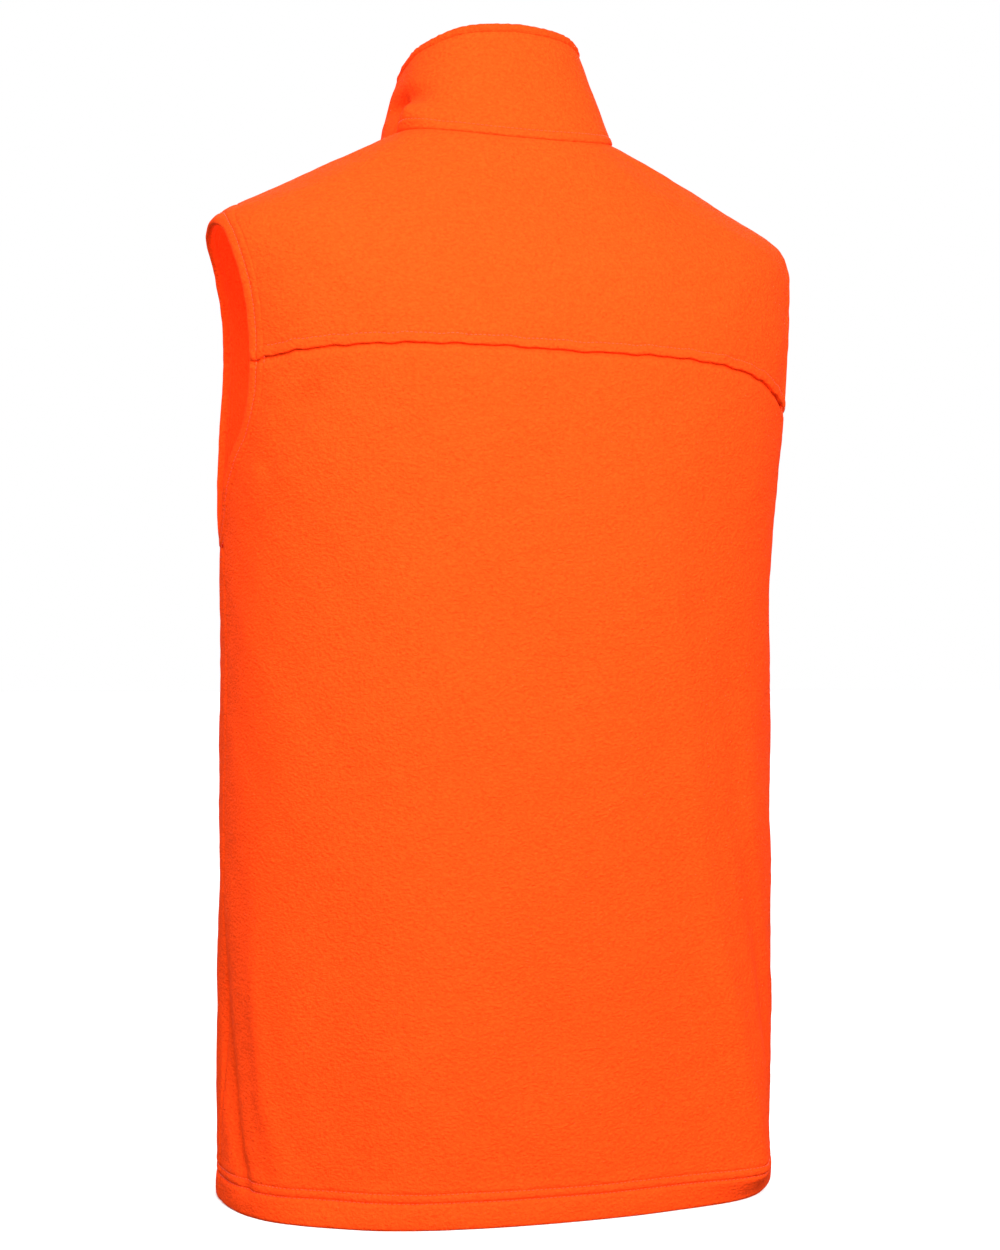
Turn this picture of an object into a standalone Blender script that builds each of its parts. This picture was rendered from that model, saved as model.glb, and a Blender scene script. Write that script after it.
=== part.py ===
"""Blaze orange fleece vest, built from its separate pieces.

The vest stands on its hem as if worn: +Z is up, the front faces -Y and +X is the wearer's left.
All sizes are in metres. The body is one smooth form, cut into panels along its seams. Around the
body, the angle phi is 0 at the centre back, 90 degrees at the left side and 180 degrees at the
centre front. Up the body, a level runs from 0 at the hem to NECK_LEVEL at the neck seam.
"""

import math

import bmesh
import bpy
import numpy as np
from mathutils import Matrix, Vector

# Driving dimensions of the vest.
VEST_NAME = "blaze_orange_vest"
FABRIC = 0.0024             # thickness of the fleece
FRONT_REACH = 0.1445        # outer face of the centre front, ahead of the origin
FRONT_RADIUS = 2.05         # radius of the centre front line, seen from the side
FRONT_BULGE_Z = 0.21        # height at which the centre front stands furthest forward

HEM_STRAIGHT = 0.012        # the lowest part of the cloth stands upright
NECK_LEVEL = 0.79
UNDERARM_LEVEL = 0.437
SHOULDER_TIP_LEVEL = 0.66
FRONT_EDGE = 0.006          # half of the gap between the front edges, where the zip chain shows
SEAM_ANGLE = 0.003          # half of the gap that a side or shoulder seam leaves, in radians
SEAM_GAP = 0.0006
CLEAR = 0.0004              # gap between pieces that lie on each other
CUTTER_REACH = 0.003        # how far a cutter stands out of the piece that it cuts

# Guides of the body's inner face: where it passes the centre back, the side and the centre front.
LEVELS = (0.0, 0.14, 0.30, 0.43, 0.52, 0.60, 0.645, 0.675, 0.71, 0.75, 0.79)
SIDE_X = (0.192, 0.1915, 0.191, 0.192, 0.198, 0.204, 0.2056, 0.199, 0.163, 0.121, 0.0812)
SIDE_Y = (-0.006, -0.002, 0.003, 0.006, 0.013, 0.018, 0.018, 0.015, 0.015, 0.016, 0.018)
SIDE_Z = (0.0, 0.14, 0.30, 0.432, 0.523, 0.599, 0.636, 0.651, 0.670, 0.6915, 0.7135)
BACK_Y = (0.127, 0.1345, 0.1400, 0.1421, 0.1405, 0.131, 0.1185, 0.109, 0.098, 0.0855, 0.0725)
BACK_Z = (0.0, 0.14, 0.30, 0.429, 0.513, 0.581, 0.616, 0.635, 0.656, 0.681, 0.705)
FRONT_Z = (0.0, 0.14, 0.30, 0.43, 0.50, 0.545, 0.565, 0.578, 0.592, 0.606, 0.62)

# Roundness of the back and front halves of a cross-section, 2 for an ellipse.
BACK_POWER = (2.45, 2.35, 2.2, 2.15, 2.15, 2.15, 2.15, 2.15, 2.15, 2.15, 2.15)
FRONT_POWER = (2.05, 2.05, 2.05, 2.05, 2.05, 2.1, 2.2, 2.3, 2.5, 2.65, 2.8)

# Guides of the collar's inner face, from the neck seam (0) to the top edge (1).
COLLAR_TOP_X = 0.0590
COLLAR_TOP_BACK_Y = 0.0430
COLLAR_TOP_SIDE_Y = -0.008
COLLAR_TOP_Z_ANGLES = (0.0, 45.0, 90.0, 135.0, 180.0)
COLLAR_TOP_Z = (0.789, 0.786, 0.776, 0.744, 0.70)
NECK_GAP_ANGLES = (0.0, 90.0, 180.0)
NECK_GAPS = (0.0018, 0.0032, 0.0008)
COLLAR_TURNS = 30           # facets around the collar's layers, which share them
BINDING_HEIGHT = 0.0055
BINDING_PROUD = 0.0006

# Edges of the armhole: angles at levels between the underarm and the shoulder tip.
ARMHOLE_LEVELS = (0.437, 0.455, 0.49, 0.53, 0.57, 0.61, 0.64, 0.66)
ARMHOLE_BACK = (90.0, 87.0, 79.0, 71.5, 69.5, 71.5, 77.0, 90.0)
ARMHOLE_FRONT = (90.0, 97.0, 106.0, 113.0, 116.0, 115.0, 110.0, 90.0)

# Yoke seam: its level at angles from the centre back.
YOKE_ANGLES = (0.0, 25.0, 50.0, 70.0)
YOKE_LEVELS = (0.570, 0.569, 0.560, 0.547)
LEVEL_ROWS_TOP = 0.30       # above it, the back panel's rows bend towards the yoke seam

# Main zip, measured from its centre plane (side) and inwards from the cloth's outer face (depth).
ZIP_TOP_Z = 0.694
ZIP_BOTTOM_Z = 0.002
CHAIN_GAP = 0.0007          # half of the slot between the chain halves
CHAIN_SIDE = 0.0032
CHAIN_DEPTH = (0.0022, 0.0046)
TAPE_SIDE = (0.0036, 0.0165)
TAPE_DEPTH = (0.0035, 0.0041)
LINING_EDGE = 0.0195        # the collar's lining stops here, beside the tape
TAPE_END = 0.001            # bare tape below the retainer box and above the top stops
STOP_LENGTH = 0.0028
BOX_SIDE = 0.0033
BOX_DEPTH = (0.0012, 0.0052)
BOX_LENGTH = 0.010
PIN_SIDE = (0.0008, 0.0024)
PIN_DEPTH = (0.0024, 0.0040)
PIN_LENGTH = 0.012
PIN_FOOT = 0.0015           # from the box's foot to the pin's
PIN_SLOT_FLOOR = 0.0011     # from the box's foot to the floor of its slot

# Pocket zips, measured the same way.
POCKET_CENTRE_X = 0.118
POCKET_CENTRE_Z = 0.185
POCKET_SLANT = math.radians(12.0)
POCKET_ZIP_RADIUS = 1.4     # close to the front's own curve
POCKET_ZIP_STEPS = 5
POCKET_ZIP_LENGTH = 0.156
POCKET_SLOT_SIDE = 0.005
COIL_SIDE = 0.0026
COIL_DEPTH = (0.0022, 0.0042)
POCKET_TAPE_SIDE = (0.0030, 0.0115)
POCKET_TAPE_DEPTH = (0.0034, 0.0040)
POCKET_SLOT_END = 0.003     # the slot stops this far short of the tapes' ends
POCKET_STOP_END = 0.004     # and the stops this far
POCKET_STOP_LENGTH = 0.0025
BAG_DEPTH = 0.0052          # from the cloth's inner face to the bag's outer face
BAG_THICKNESS = 0.0012
BAG_X = (0.030, 0.150)
BAG_Z = (0.050, 0.275)

# Sliders and pulls: half width, length and the depths of the top and bottom plates.
MAIN_SLIDER = {"side": 0.0045, "length": 0.0110, "top": (0.0006, 0.0018),
               "bottom": (0.0050, 0.0060)}
POCKET_SLIDER = {"side": 0.0038, "length": 0.0095, "top": (0.0007, 0.0018),
                 "bottom": (0.0046, 0.0055)}
PLATE_CORNER = 0.0016
WEB_SIDE = 0.0003           # half thickness of the web between the plates
BRIDGE_RISE = 0.0027        # the bridge that holds the pull, above the top plate
BRIDGE_WIRE = 0.0006
BRIDGE_HALF_LENGTH = 0.0030
PULL_THICKNESS = 0.0011
PULL_BAR = 0.0011           # the crossbar that runs under the bridge
PULL_HOLE_SIDE = 0.0014
PULL_HOLE_LENGTH = 0.0052
PULL_CORNER = 0.0010
PULL_HOLE_CORNER = 0.0006
MAIN_PULL = {"side": 0.0031, "tip": 0.0040, "length": 0.030}
POCKET_PULL = {"side": 0.0027, "tip": 0.0034, "length": 0.024}
POCKET_PULL_LEAN = math.radians(8.0)    # keeps it clear of the cloth below the slot

# Finishings around the neck.
NECK_TAPE_THICKNESS = 0.0008
NECK_TAPE_TURNS = 14        # of the collar's facets, those that the tape covers
NECK_TAPE_HEIGHTS = (0.004, 0.016)
LABEL_LEVELS = (0.715, 0.755)
LABEL_HALF_WIDTH = 0.022
LABEL_THICKNESS = 0.0006
LOOP_HALF_WIDTH = 0.020
LOOP_DROP = 0.017
LOOP_WIRE = 0.0013
LOOP_STAND_OFF = 0.0045
LOOP_BELOW_SEAM = 0.002

DRAWN_LARGER = 100.0        # curves of small pieces are drawn this much larger, then scaled down

# Base colours.
ORANGE = (0.95, 0.12, 0.012)
BINDING_ORANGE = (0.86, 0.09, 0.012)
TAPE_ORANGE = (0.80, 0.09, 0.012)
LINING_ORANGE = (0.88, 0.10, 0.012)
BLACK = (0.02, 0.02, 0.022)
NICKEL = (0.45, 0.45, 0.46)
LABEL_GREY = (0.70, 0.70, 0.68)


def clear_scene():
    for item in list(bpy.data.objects):
        bpy.data.objects.remove(item, do_unlink=True)


def make_material(name, colour, roughness, metallic=0.0):
    material = bpy.data.materials.new(name)
    material.use_nodes = True
    shader = material.node_tree.nodes["Principled BSDF"]
    shader.inputs["Base Color"].default_value = (*colour, 1.0)
    shader.inputs["Roughness"].default_value = roughness
    shader.inputs["Metallic"].default_value = metallic
    return material


# ---------------------------------------------------------------------------------------------
# The body's form


def smooth_value(positions, values, where):
    """A smooth curve through the given values (cubic Hermite), read at one position."""
    slopes = np.gradient(np.array(values), np.array(positions))
    last = len(positions) - 2
    i = min(max(int(np.searchsorted(positions, where, side="right")) - 1, 0), last)
    span = positions[i + 1] - positions[i]
    s = (where - positions[i]) / span
    rise = (3 - 2 * s) * s * s
    ease_in = s * (1 - s) ** 2 * span * slopes[i]
    ease_out = s * s * (s - 1) * span * slopes[i + 1]
    return float(values[i] * (1 - rise) + values[i + 1] * rise + ease_in + ease_out)


def front_line_y(z):
    """The cloth's inner face at the centre front."""
    centre_y = FRONT_RADIUS - FRONT_REACH
    inner_radius = FRONT_RADIUS - FABRIC
    return centre_y - math.sqrt(inner_radius ** 2 - (z - FRONT_BULGE_Z) ** 2)


def ring_point(phi, side, back, front, powers):
    """A point of a cross-section through its (x, y, z) side, (y, z) back and (y, z) front."""
    cosine = math.cos(phi)
    sine = math.sin(phi)
    power = powers[0] if cosine >= 0 else powers[1]
    middle_y, middle_z = back if cosine >= 0 else front
    across = math.copysign(abs(sine) ** (2 / power), sine)
    along = abs(cosine) ** (2 / power)
    side_x, side_y, side_z = side
    x = side_x * across
    y = side_y + (middle_y - side_y) * along
    z = side_z + (middle_z - side_z) * cosine ** 2
    return Vector((x, y, z))


def body_point(phi, level):
    """A point of the body's inner face."""
    held = max(level, HEM_STRAIGHT)
    side_x = smooth_value(LEVELS, SIDE_X, held)
    side_y = smooth_value(LEVELS, SIDE_Y, held)
    side_z = smooth_value(LEVELS, SIDE_Z, held)
    back_y = smooth_value(LEVELS, BACK_Y, held)
    back_z = smooth_value(LEVELS, BACK_Z, held)
    front_z = smooth_value(LEVELS, FRONT_Z, held)
    powers = (smooth_value(LEVELS, BACK_POWER, held), smooth_value(LEVELS, FRONT_POWER, held))
    side = (side_x, side_y, side_z)
    point = ring_point(phi, side, (back_y, back_z), (front_line_y(front_z), front_z), powers)
    if level < HEM_STRAIGHT:
        point.z = level
    return point


def collar_point(phi, height):
    """A point of the collar's inner face, from the neck seam (0) to its top edge (1)."""
    foot = body_point(phi, NECK_LEVEL)
    turn = math.degrees(abs(math.remainder(phi, 2 * math.pi)))
    front_z = FRONT_Z[-1] + (COLLAR_TOP_Z[-1] - FRONT_Z[-1]) * height
    top_side = (COLLAR_TOP_X, COLLAR_TOP_SIDE_Y, 0.0)
    top_front = (front_line_y(COLLAR_TOP_Z[-1]), 0.0)
    powers = (BACK_POWER[-1], FRONT_POWER[-1])
    rim = ring_point(phi, top_side, (COLLAR_TOP_BACK_Y, 0.0), top_front, powers)
    rim.z = smooth_value(COLLAR_TOP_Z_ANGLES, COLLAR_TOP_Z, turn)
    point = foot.lerp(rim, height)
    # Near the centre front the collar keeps to the arc of the zip.
    to_front = max(0.0, -math.cos(phi)) ** 2
    straight_y = front_line_y(FRONT_Z[-1]) * (1 - height) + front_line_y(COLLAR_TOP_Z[-1]) * height
    point.y += (front_line_y(front_z) - straight_y) * to_front
    return point


def surface_normal(point_at, phi, level):
    step = 1e-4
    around = point_at(phi + step, level) - point_at(phi - step, level)
    up = point_at(phi, level + step) - point_at(phi, level - step)
    return up.cross(around).normalized()


def inset(point_at, phi, level, depth):
    """A point below the given face by a depth, along the face's own normal."""
    return point_at(phi, level) - surface_normal(point_at, phi, level) * depth


def front_phi(x, level):
    """The angle at which the front half of the body has the given x, at a level."""
    held = max(level, HEM_STRAIGHT)
    side_x = smooth_value(LEVELS, SIDE_X, held)
    sine = (abs(x) / side_x) ** (smooth_value(LEVELS, FRONT_POWER, held) / 2)
    return math.pi - math.copysign(math.asin(sine), x)


def collar_front_phi(x, height):
    side_x = SIDE_X[-1] + (COLLAR_TOP_X - SIDE_X[-1]) * height
    sine = (abs(x) / side_x) ** (FRONT_POWER[-1] / 2)
    return math.pi - math.copysign(math.asin(sine), x)


# ---------------------------------------------------------------------------------------------
# Building blocks


def add_object(name, mesh, material, collection):
    item = bpy.data.objects.new(name, mesh)
    collection.objects.link(item)
    if material is not None:
        mesh.materials.append(material)
    return item


def sheet(name, columns, rows, place, thickness, material, collection):
    """A sheet of cloth: a grid laid by place(across, up), then given its thickness outwards."""
    mesh = bpy.data.meshes.new(name)
    grid = bmesh.new()
    bmesh.ops.create_grid(grid, x_segments=columns, y_segments=rows, size=1.0)
    for vertex in grid.verts:
        across = (vertex.co.x + 1) / 2
        up = (vertex.co.y + 1) / 2
        vertex.co = place(across, up)
    grid.to_mesh(mesh)
    grid.free()
    item = add_object(name, mesh, material, collection)
    shell = item.modifiers.new("thickness", "SOLIDIFY")
    shell.thickness = thickness
    shell.offset = -1
    mesh.shade_smooth()
    return item


def spread(stops, counts, position):
    """Read a row of stops, each stretch between two stops having its own count of steps."""
    place = position * sum(counts)
    for first, last, count in zip(stops, stops[1:], counts):
        if place <= count + 1e-6:
            return first + (last - first) * place / count
        place -= count
    return stops[-1]


class ZipLine:
    """A zip's centre line, an arc. Its places are given as (side, depth, along)."""

    def __init__(self, middle, outward, upward, radius):
        self.outward = outward.normalized()
        self.upward = (upward - self.outward * upward.dot(self.outward)).normalized()
        self.side = self.upward.cross(self.outward)
        self.radius = radius
        self.centre = middle - self.outward * radius

    def matrix(self, along):
        """Local axes at a place on the arc: x to the side, y inwards, z up the zip."""
        angle = along / self.radius
        outward = self.outward * math.cos(angle) + self.upward * math.sin(angle)
        upward = self.upward * math.cos(angle) - self.outward * math.sin(angle)
        place = self.centre + outward * self.radius
        axes = Matrix((self.side, -outward, upward)).transposed()
        return Matrix.Translation(place) @ axes.to_4x4()

    def point(self, side, depth, along):
        return self.matrix(along) @ Vector((side, depth, 0.0))


def bent_bar(name, line, side, depth, along, material, collection, steps=1):
    """A bar along a zip's arc, between two sides, two depths and two places along it."""
    mesh = bpy.data.meshes.new(name)
    bar = bmesh.new()
    bmesh.ops.create_cube(bar, size=1.0)
    for i in range(1, steps):
        cut = Vector((0.0, 0.0, i / steps - 0.5))
        everything = bar.verts[:] + bar.edges[:] + bar.faces[:]
        bmesh.ops.bisect_plane(bar, geom=everything, plane_co=cut, plane_no=(0, 0, 1))
    for vertex in bar.verts:
        spots = [low + (high - low) * (place + 0.5)
                 for (low, high), place in zip((side, depth, along), vertex.co)]
        vertex.co = line.point(*spots)
    bmesh.ops.recalc_face_normals(bar, faces=bar.faces)
    bar.to_mesh(mesh)
    bar.free()
    return add_object(name, mesh, material, collection)


def outline_solid(name, outlines, thickness, matrix, material, collection):
    """A flat solid from closed outlines in the local XY plane, the later ones being holes."""
    curve = bpy.data.curves.new(name, "CURVE")
    curve.dimensions = "2D"
    curve.fill_mode = "BOTH"
    curve.extrude = thickness / 2 * DRAWN_LARGER
    for outline in outlines:
        spline = curve.splines.new("POLY")
        spline.points.add(len(outline) - 1)
        spline.use_cyclic_u = True
        for point, (x, y) in zip(spline.points, outline):
            point.co = (x * DRAWN_LARGER, y * DRAWN_LARGER, 0.0, 1.0)
    return curve_to_mesh(name, curve, matrix, material, collection)


def wire_solid(name, points, radius, matrix, material, collection):
    curve = bpy.data.curves.new(name, "CURVE")
    curve.dimensions = "3D"
    curve.bevel_depth = radius * DRAWN_LARGER
    curve.bevel_resolution = 1
    curve.use_fill_caps = True
    spline = curve.splines.new("POLY")
    spline.points.add(len(points) - 1)
    for point, place in zip(spline.points, points):
        point.co = (*(Vector(place) * DRAWN_LARGER), 1.0)
    return curve_to_mesh(name, curve, matrix, material, collection)


def curve_to_mesh(name, curve, matrix, material, collection):
    """Turn a curve into a closed mesh, its caps welded on."""
    source = bpy.data.objects.new(name + "_curve", curve)
    collection.objects.link(source)
    bpy.context.view_layer.update()
    graph = bpy.context.evaluated_depsgraph_get()
    mesh = bpy.data.meshes.new_from_object(source.evaluated_get(graph))
    bpy.data.objects.remove(source, do_unlink=True)
    welded = bmesh.new()
    welded.from_mesh(mesh)
    bmesh.ops.remove_doubles(welded, verts=welded.verts, dist=1e-6 * DRAWN_LARGER)
    bmesh.ops.recalc_face_normals(welded, faces=welded.faces)
    bmesh.ops.scale(welded, verts=welded.verts, vec=Vector((1, 1, 1)) / DRAWN_LARGER)
    welded.to_mesh(mesh)
    welded.free()
    mesh.name = name
    mesh.materials.clear()
    item = add_object(name, mesh, material, collection)
    item.matrix_world = matrix
    return item


def rounded_outline(half_width, low, high, radius, steps=4):
    """A rectangle with round corners, counter-clockwise, in the XY plane."""
    corners = ((half_width, high, 0), (-half_width, high, 90),
               (-half_width, low, 180), (half_width, low, 270))
    points = []
    for x, y, start in corners:
        centre_x = x - math.copysign(radius, x)
        centre_y = y - radius if y == high else y + radius
        for i in range(steps + 1):
            angle = math.radians(start + 90 * i / steps)
            points.append((centre_x + radius * math.cos(angle), centre_y + radius * math.sin(angle)))
    return points


def combine(item, other, operation):
    """Add or cut one solid with another, which is then kept only as a guide."""
    change = item.modifiers.new(other.name, "BOOLEAN")
    change.operation = operation
    change.object = other
    other.hide_render = True
    other.display_type = "WIRE"


# ---------------------------------------------------------------------------------------------
# Panels


def armhole_edge(level, angles):
    """The angle of the armhole's back or front edge, or of the seam beyond it."""
    if level <= UNDERARM_LEVEL or level >= SHOULDER_TIP_LEVEL:
        return math.pi / 2
    return math.radians(smooth_value(ARMHOLE_LEVELS, angles, level))


def yoke_level(phi):
    return smooth_value(YOKE_ANGLES, YOKE_LEVELS, min(math.degrees(abs(phi)), YOKE_ANGLES[-1]))


def build_back_panel(fleece, collection):
    stops = (0.0, HEM_STRAIGHT, UNDERARM_LEVEL, YOKE_LEVELS[-1])
    counts = (1, 8, 4)
    full = YOKE_LEVELS[-1]

    def place(across, up):
        edge_level = spread(stops, counts, up)
        reach = armhole_edge(edge_level, ARMHOLE_BACK) - SEAM_ANGLE
        phi = (2 * across - 1) * reach
        top = yoke_level(phi) - SEAM_GAP / 2
        share = max(0.0, (edge_level - LEVEL_ROWS_TOP) / (full - LEVEL_ROWS_TOP))
        level = edge_level + (top - full) * share ** 2
        return body_point(phi, level)

    return sheet("back_panel", 24, sum(counts), place, FABRIC, fleece, collection)


def build_back_yoke(fleece, collection):
    low = YOKE_LEVELS[-1]
    stops = (low, SHOULDER_TIP_LEVEL, NECK_LEVEL)
    counts = (6, 6)

    def place(across, up):
        edge_level = spread(stops, counts, up)
        reach = armhole_edge(edge_level, ARMHOLE_BACK) - SEAM_ANGLE
        phi = (2 * across - 1) * reach
        bottom = yoke_level(phi) + SEAM_GAP / 2
        rest = max(0.0, (SHOULDER_TIP_LEVEL - edge_level) / (SHOULDER_TIP_LEVEL - low))
        return body_point(phi, edge_level + (bottom - low) * rest ** 2)

    return sheet("back_yoke", 24, sum(counts), place, FABRIC, fleece, collection)


def build_front_panel(side, sign, fleece, collection):
    stops = (0.0, HEM_STRAIGHT, UNDERARM_LEVEL, SHOULDER_TIP_LEVEL, NECK_LEVEL)
    counts = (1, 10, 7, 5)

    def place(across, up):
        level = spread(stops, counts, up)
        outer = armhole_edge(level, ARMHOLE_FRONT) + SEAM_ANGLE
        beside_zip = front_phi(LINING_EDGE, level)
        inner = front_phi(FRONT_EDGE, level)
        share = across if sign > 0 else 1 - across
        phi = spread((outer, beside_zip, inner), (11, 1), share)
        return body_point(phi * sign, level)

    return sheet(side + "_front_panel", 12, sum(counts), place, FABRIC, fleece, collection)


# ---------------------------------------------------------------------------------------------
# Collar


def collar_sheet(name, full, depth, low, high, thickness, material, collection, rows):
    """A layer of the collar, its inner face a depth below the guides.

    Its heights are measured from the top edge, except that without a low one it starts just above
    the neck seam. A full layer runs to the zip's edge, the others stop beside the zip's tape.
    """
    counts = (1, COLLAR_TURNS, 1) if full else (COLLAR_TURNS,)

    def place(across, up):
        about = up if low is None else 1.0
        inner_end = collar_front_phi(LINING_EDGE, about)
        outer_end = collar_front_phi(FRONT_EDGE, about)
        stops = (-outer_end, -inner_end, inner_end, outer_end) if full else (-inner_end, inner_end)
        phi = spread(stops, counts, across)
        turn = math.degrees(abs(phi))
        tall = (collar_point(phi, 1.0) - collar_point(phi, 0.0)).length
        foot = float(np.interp(turn, NECK_GAP_ANGLES, NECK_GAPS)) if low is None else tall + low
        height = (foot + (tall + high - foot) * up) / tall
        return inset(collar_point, phi, height, depth)

    return sheet(name, sum(counts), rows, place, thickness, material, collection)


def build_collar(fleece, lining, binding, collection):
    top = -BINDING_HEIGHT - 2 * CLEAR
    collar_sheet("collar_outer", True, 0.0, None, top, FABRIC, fleece, collection, 3)
    lining_depth = FABRIC + CLEAR
    collar_sheet("collar_lining", False, lining_depth, None, top, FABRIC, lining, collection, 3)
    binding_depth = lining_depth + BINDING_PROUD
    binding_thickness = binding_depth + FABRIC + BINDING_PROUD
    collar_sheet("collar_edge_binding", True, binding_depth, -BINDING_HEIGHT, 0.0,
                 binding_thickness, binding, collection, 1)


# ---------------------------------------------------------------------------------------------
# Zips


def main_zip_line():
    middle = Vector((0.0, -FRONT_REACH, FRONT_BULGE_Z))
    return ZipLine(middle, Vector((0, -1, 0)), Vector((0, 0, 1)), FRONT_RADIUS)


def main_along(z):
    """Place along the main zip's arc at a height."""
    return FRONT_RADIUS * math.asin((z - FRONT_BULGE_Z) / FRONT_RADIUS)


def pocket_zip_line(sign):
    phi = front_phi(POCKET_CENTRE_X, POCKET_CENTRE_Z) * sign
    outward = surface_normal(body_point, phi, POCKET_CENTRE_Z)
    middle = body_point(phi, POCKET_CENTRE_Z) + outward * FABRIC
    level_side = Vector((0, 0, 1)).cross(outward).normalized()
    upward = outward.cross(level_side)
    upward = upward * math.cos(POCKET_SLANT) + level_side * (-sign) * math.sin(POCKET_SLANT)
    return ZipLine(middle, outward, upward, POCKET_ZIP_RADIUS)


def mirrored(span, sign):
    return tuple(sorted(sign * value for value in span))


def build_main_zip(tape, plastic, collection):
    line = main_zip_line()
    bottom = main_along(ZIP_BOTTOM_Z)
    top = main_along(ZIP_TOP_Z)
    box_bottom = bottom + TAPE_END
    box_top = box_bottom + BOX_LENGTH
    chain_bottom = box_top + CLEAR
    stop_top = top - TAPE_END
    chain_top = stop_top - STOP_LENGTH - CLEAR
    for name, sign in (("left", 1), ("right", -1)):
        sides = mirrored(TAPE_SIDE, sign)
        bent_bar(name + "_zip_tape", line, sides, TAPE_DEPTH, (bottom, top), tape, collection, 22)
        teeth = mirrored((CHAIN_GAP, CHAIN_SIDE), sign)
        start = box_bottom + PIN_LENGTH + CLEAR if sign > 0 else chain_bottom
        bent_bar(name + "_zip_chain", line, teeth, CHAIN_DEPTH, (start, chain_top), plastic,
                 collection, 22)
        stop = (stop_top - STOP_LENGTH, stop_top)
        bent_bar(name + "_top_stop", line, teeth, CHAIN_DEPTH, stop, plastic, collection)
    pin = (box_bottom + PIN_FOOT, box_bottom + PIN_LENGTH)
    bent_bar("zip_insertion_pin", line, PIN_SIDE, PIN_DEPTH, pin, plastic, collection)
    return line, (box_bottom, box_top)


def build_retainer_box(line, span, plastic, collection, cutters):
    box_side = (-BOX_SIDE, BOX_SIDE)
    box = bent_bar("zip_retainer_box", line, box_side, BOX_DEPTH, span, plastic, collection)
    slot_side = (PIN_SIDE[0] - CLEAR, PIN_SIDE[1] + CLEAR)
    slot_depth = (PIN_DEPTH[0] - CLEAR, PIN_DEPTH[1] + CLEAR)
    slot_span = (span[0] + PIN_SLOT_FLOOR, span[1] + CUTTER_REACH)
    slot = bent_bar("pin_slot_cutter", line, slot_side, slot_depth, slot_span, None, cutters)
    combine(box, slot, "DIFFERENCE")


def slider_plate(name, size, depths, matrix, material, collection):
    """A plate with round corners, facing outwards, between two depths."""
    low, high = depths
    lift = Matrix.Translation((0.0, (low + high) / 2, 0.0)) @ Matrix.Rotation(math.pi / 2, 4, "X")
    half = size["length"] / 2
    outline = rounded_outline(size["side"], -half, half, PLATE_CORNER)
    return outline_solid(name, [outline], high - low, matrix @ lift, material, collection)


def build_slider(name, size, line, along, metal, collection, cutters):
    """A slider centred at a place along its zip: two plates, a thin web and the pull's bridge."""
    matrix = line.matrix(along)
    body = slider_plate(name, size, size["top"], matrix, metal, collection)
    plate = slider_plate(name + "_plate_part", size, size["bottom"], matrix, None, cutters)
    web_depth = ((size["top"][0] + size["top"][1]) / 2, (size["bottom"][0] + size["bottom"][1]) / 2)
    web_reach = size["length"] / 2 - PLATE_CORNER
    web = bent_bar(name + "_web_part", line, (-WEB_SIDE, WEB_SIDE), web_depth,
                   (along - web_reach, along + web_reach), None, cutters)
    combine(body, web, "UNION")
    combine(body, plate, "UNION")
    foot = (size["top"][0] + size["top"][1]) / 2
    crown = size["top"][0] - BRIDGE_RISE
    arch = []
    for i in range(9):
        angle = math.pi * i / 8
        lift = math.sin(angle) ** 0.5
        arch.append((0.0, foot + (crown - foot) * lift, BRIDGE_HALF_LENGTH * math.cos(angle)))
    bridge = wire_solid(name + "_bridge_part", arch, BRIDGE_WIRE, matrix, None, cutters)
    combine(body, bridge, "UNION")
    return body


def crossbar_place(size):
    """Depth of the pull's crossbar: midway between the top plate and the bridge's wire."""
    under_bridge = size["top"][0] - BRIDGE_RISE + BRIDGE_WIRE
    return (under_bridge + size["top"][0]) / 2


def build_pull(name, shape, size, line, along, metal, collection, lean=0.0):
    """A flat pull that hangs on its crossbar and lies down along the zip, or leans out."""
    matrix = line.matrix(along) @ Matrix.Translation((0.0, crossbar_place(size), 0.0))
    stand = matrix @ Matrix.Rotation(math.pi / 2 - lean, 4, "X")
    top = PULL_BAR / 2
    outer = []
    for x, y in rounded_outline(shape["side"], top - shape["length"], top, PULL_CORNER):
        at_tip = y < top - shape["length"] / 2
        outer.append((x * shape["tip"] / shape["side"] if at_tip else x, y))
    hole = rounded_outline(PULL_HOLE_SIDE, -top - PULL_HOLE_LENGTH, -top, PULL_HOLE_CORNER, steps=2)
    return outline_solid(name, [outer, hole[::-1]], PULL_THICKNESS, stand, metal, collection)


def hang_on_axis(name, item, place, collection):
    """Parent a moving piece to an empty on its joint's axis."""
    pivot = bpy.data.objects.new(name, None)
    pivot.location = place
    collection.objects.link(pivot)
    item.parent = pivot
    item.matrix_parent_inverse = Matrix.Translation(-place)


def build_main_slider(line, metal, collection, cutters):
    under_stops = main_along(ZIP_TOP_Z) - TAPE_END - STOP_LENGTH
    along = under_stops - 2 * CLEAR - MAIN_SLIDER["length"] / 2
    slider = build_slider("main_zip_slider", MAIN_SLIDER, line, along, metal, collection, cutters)
    hang_on_axis("main_zip_arc_centre", slider, line.centre, collection)
    build_pull("main_zip_pull", MAIN_PULL, MAIN_SLIDER, line, along, metal, collection)


# ---------------------------------------------------------------------------------------------
# Pockets


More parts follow.
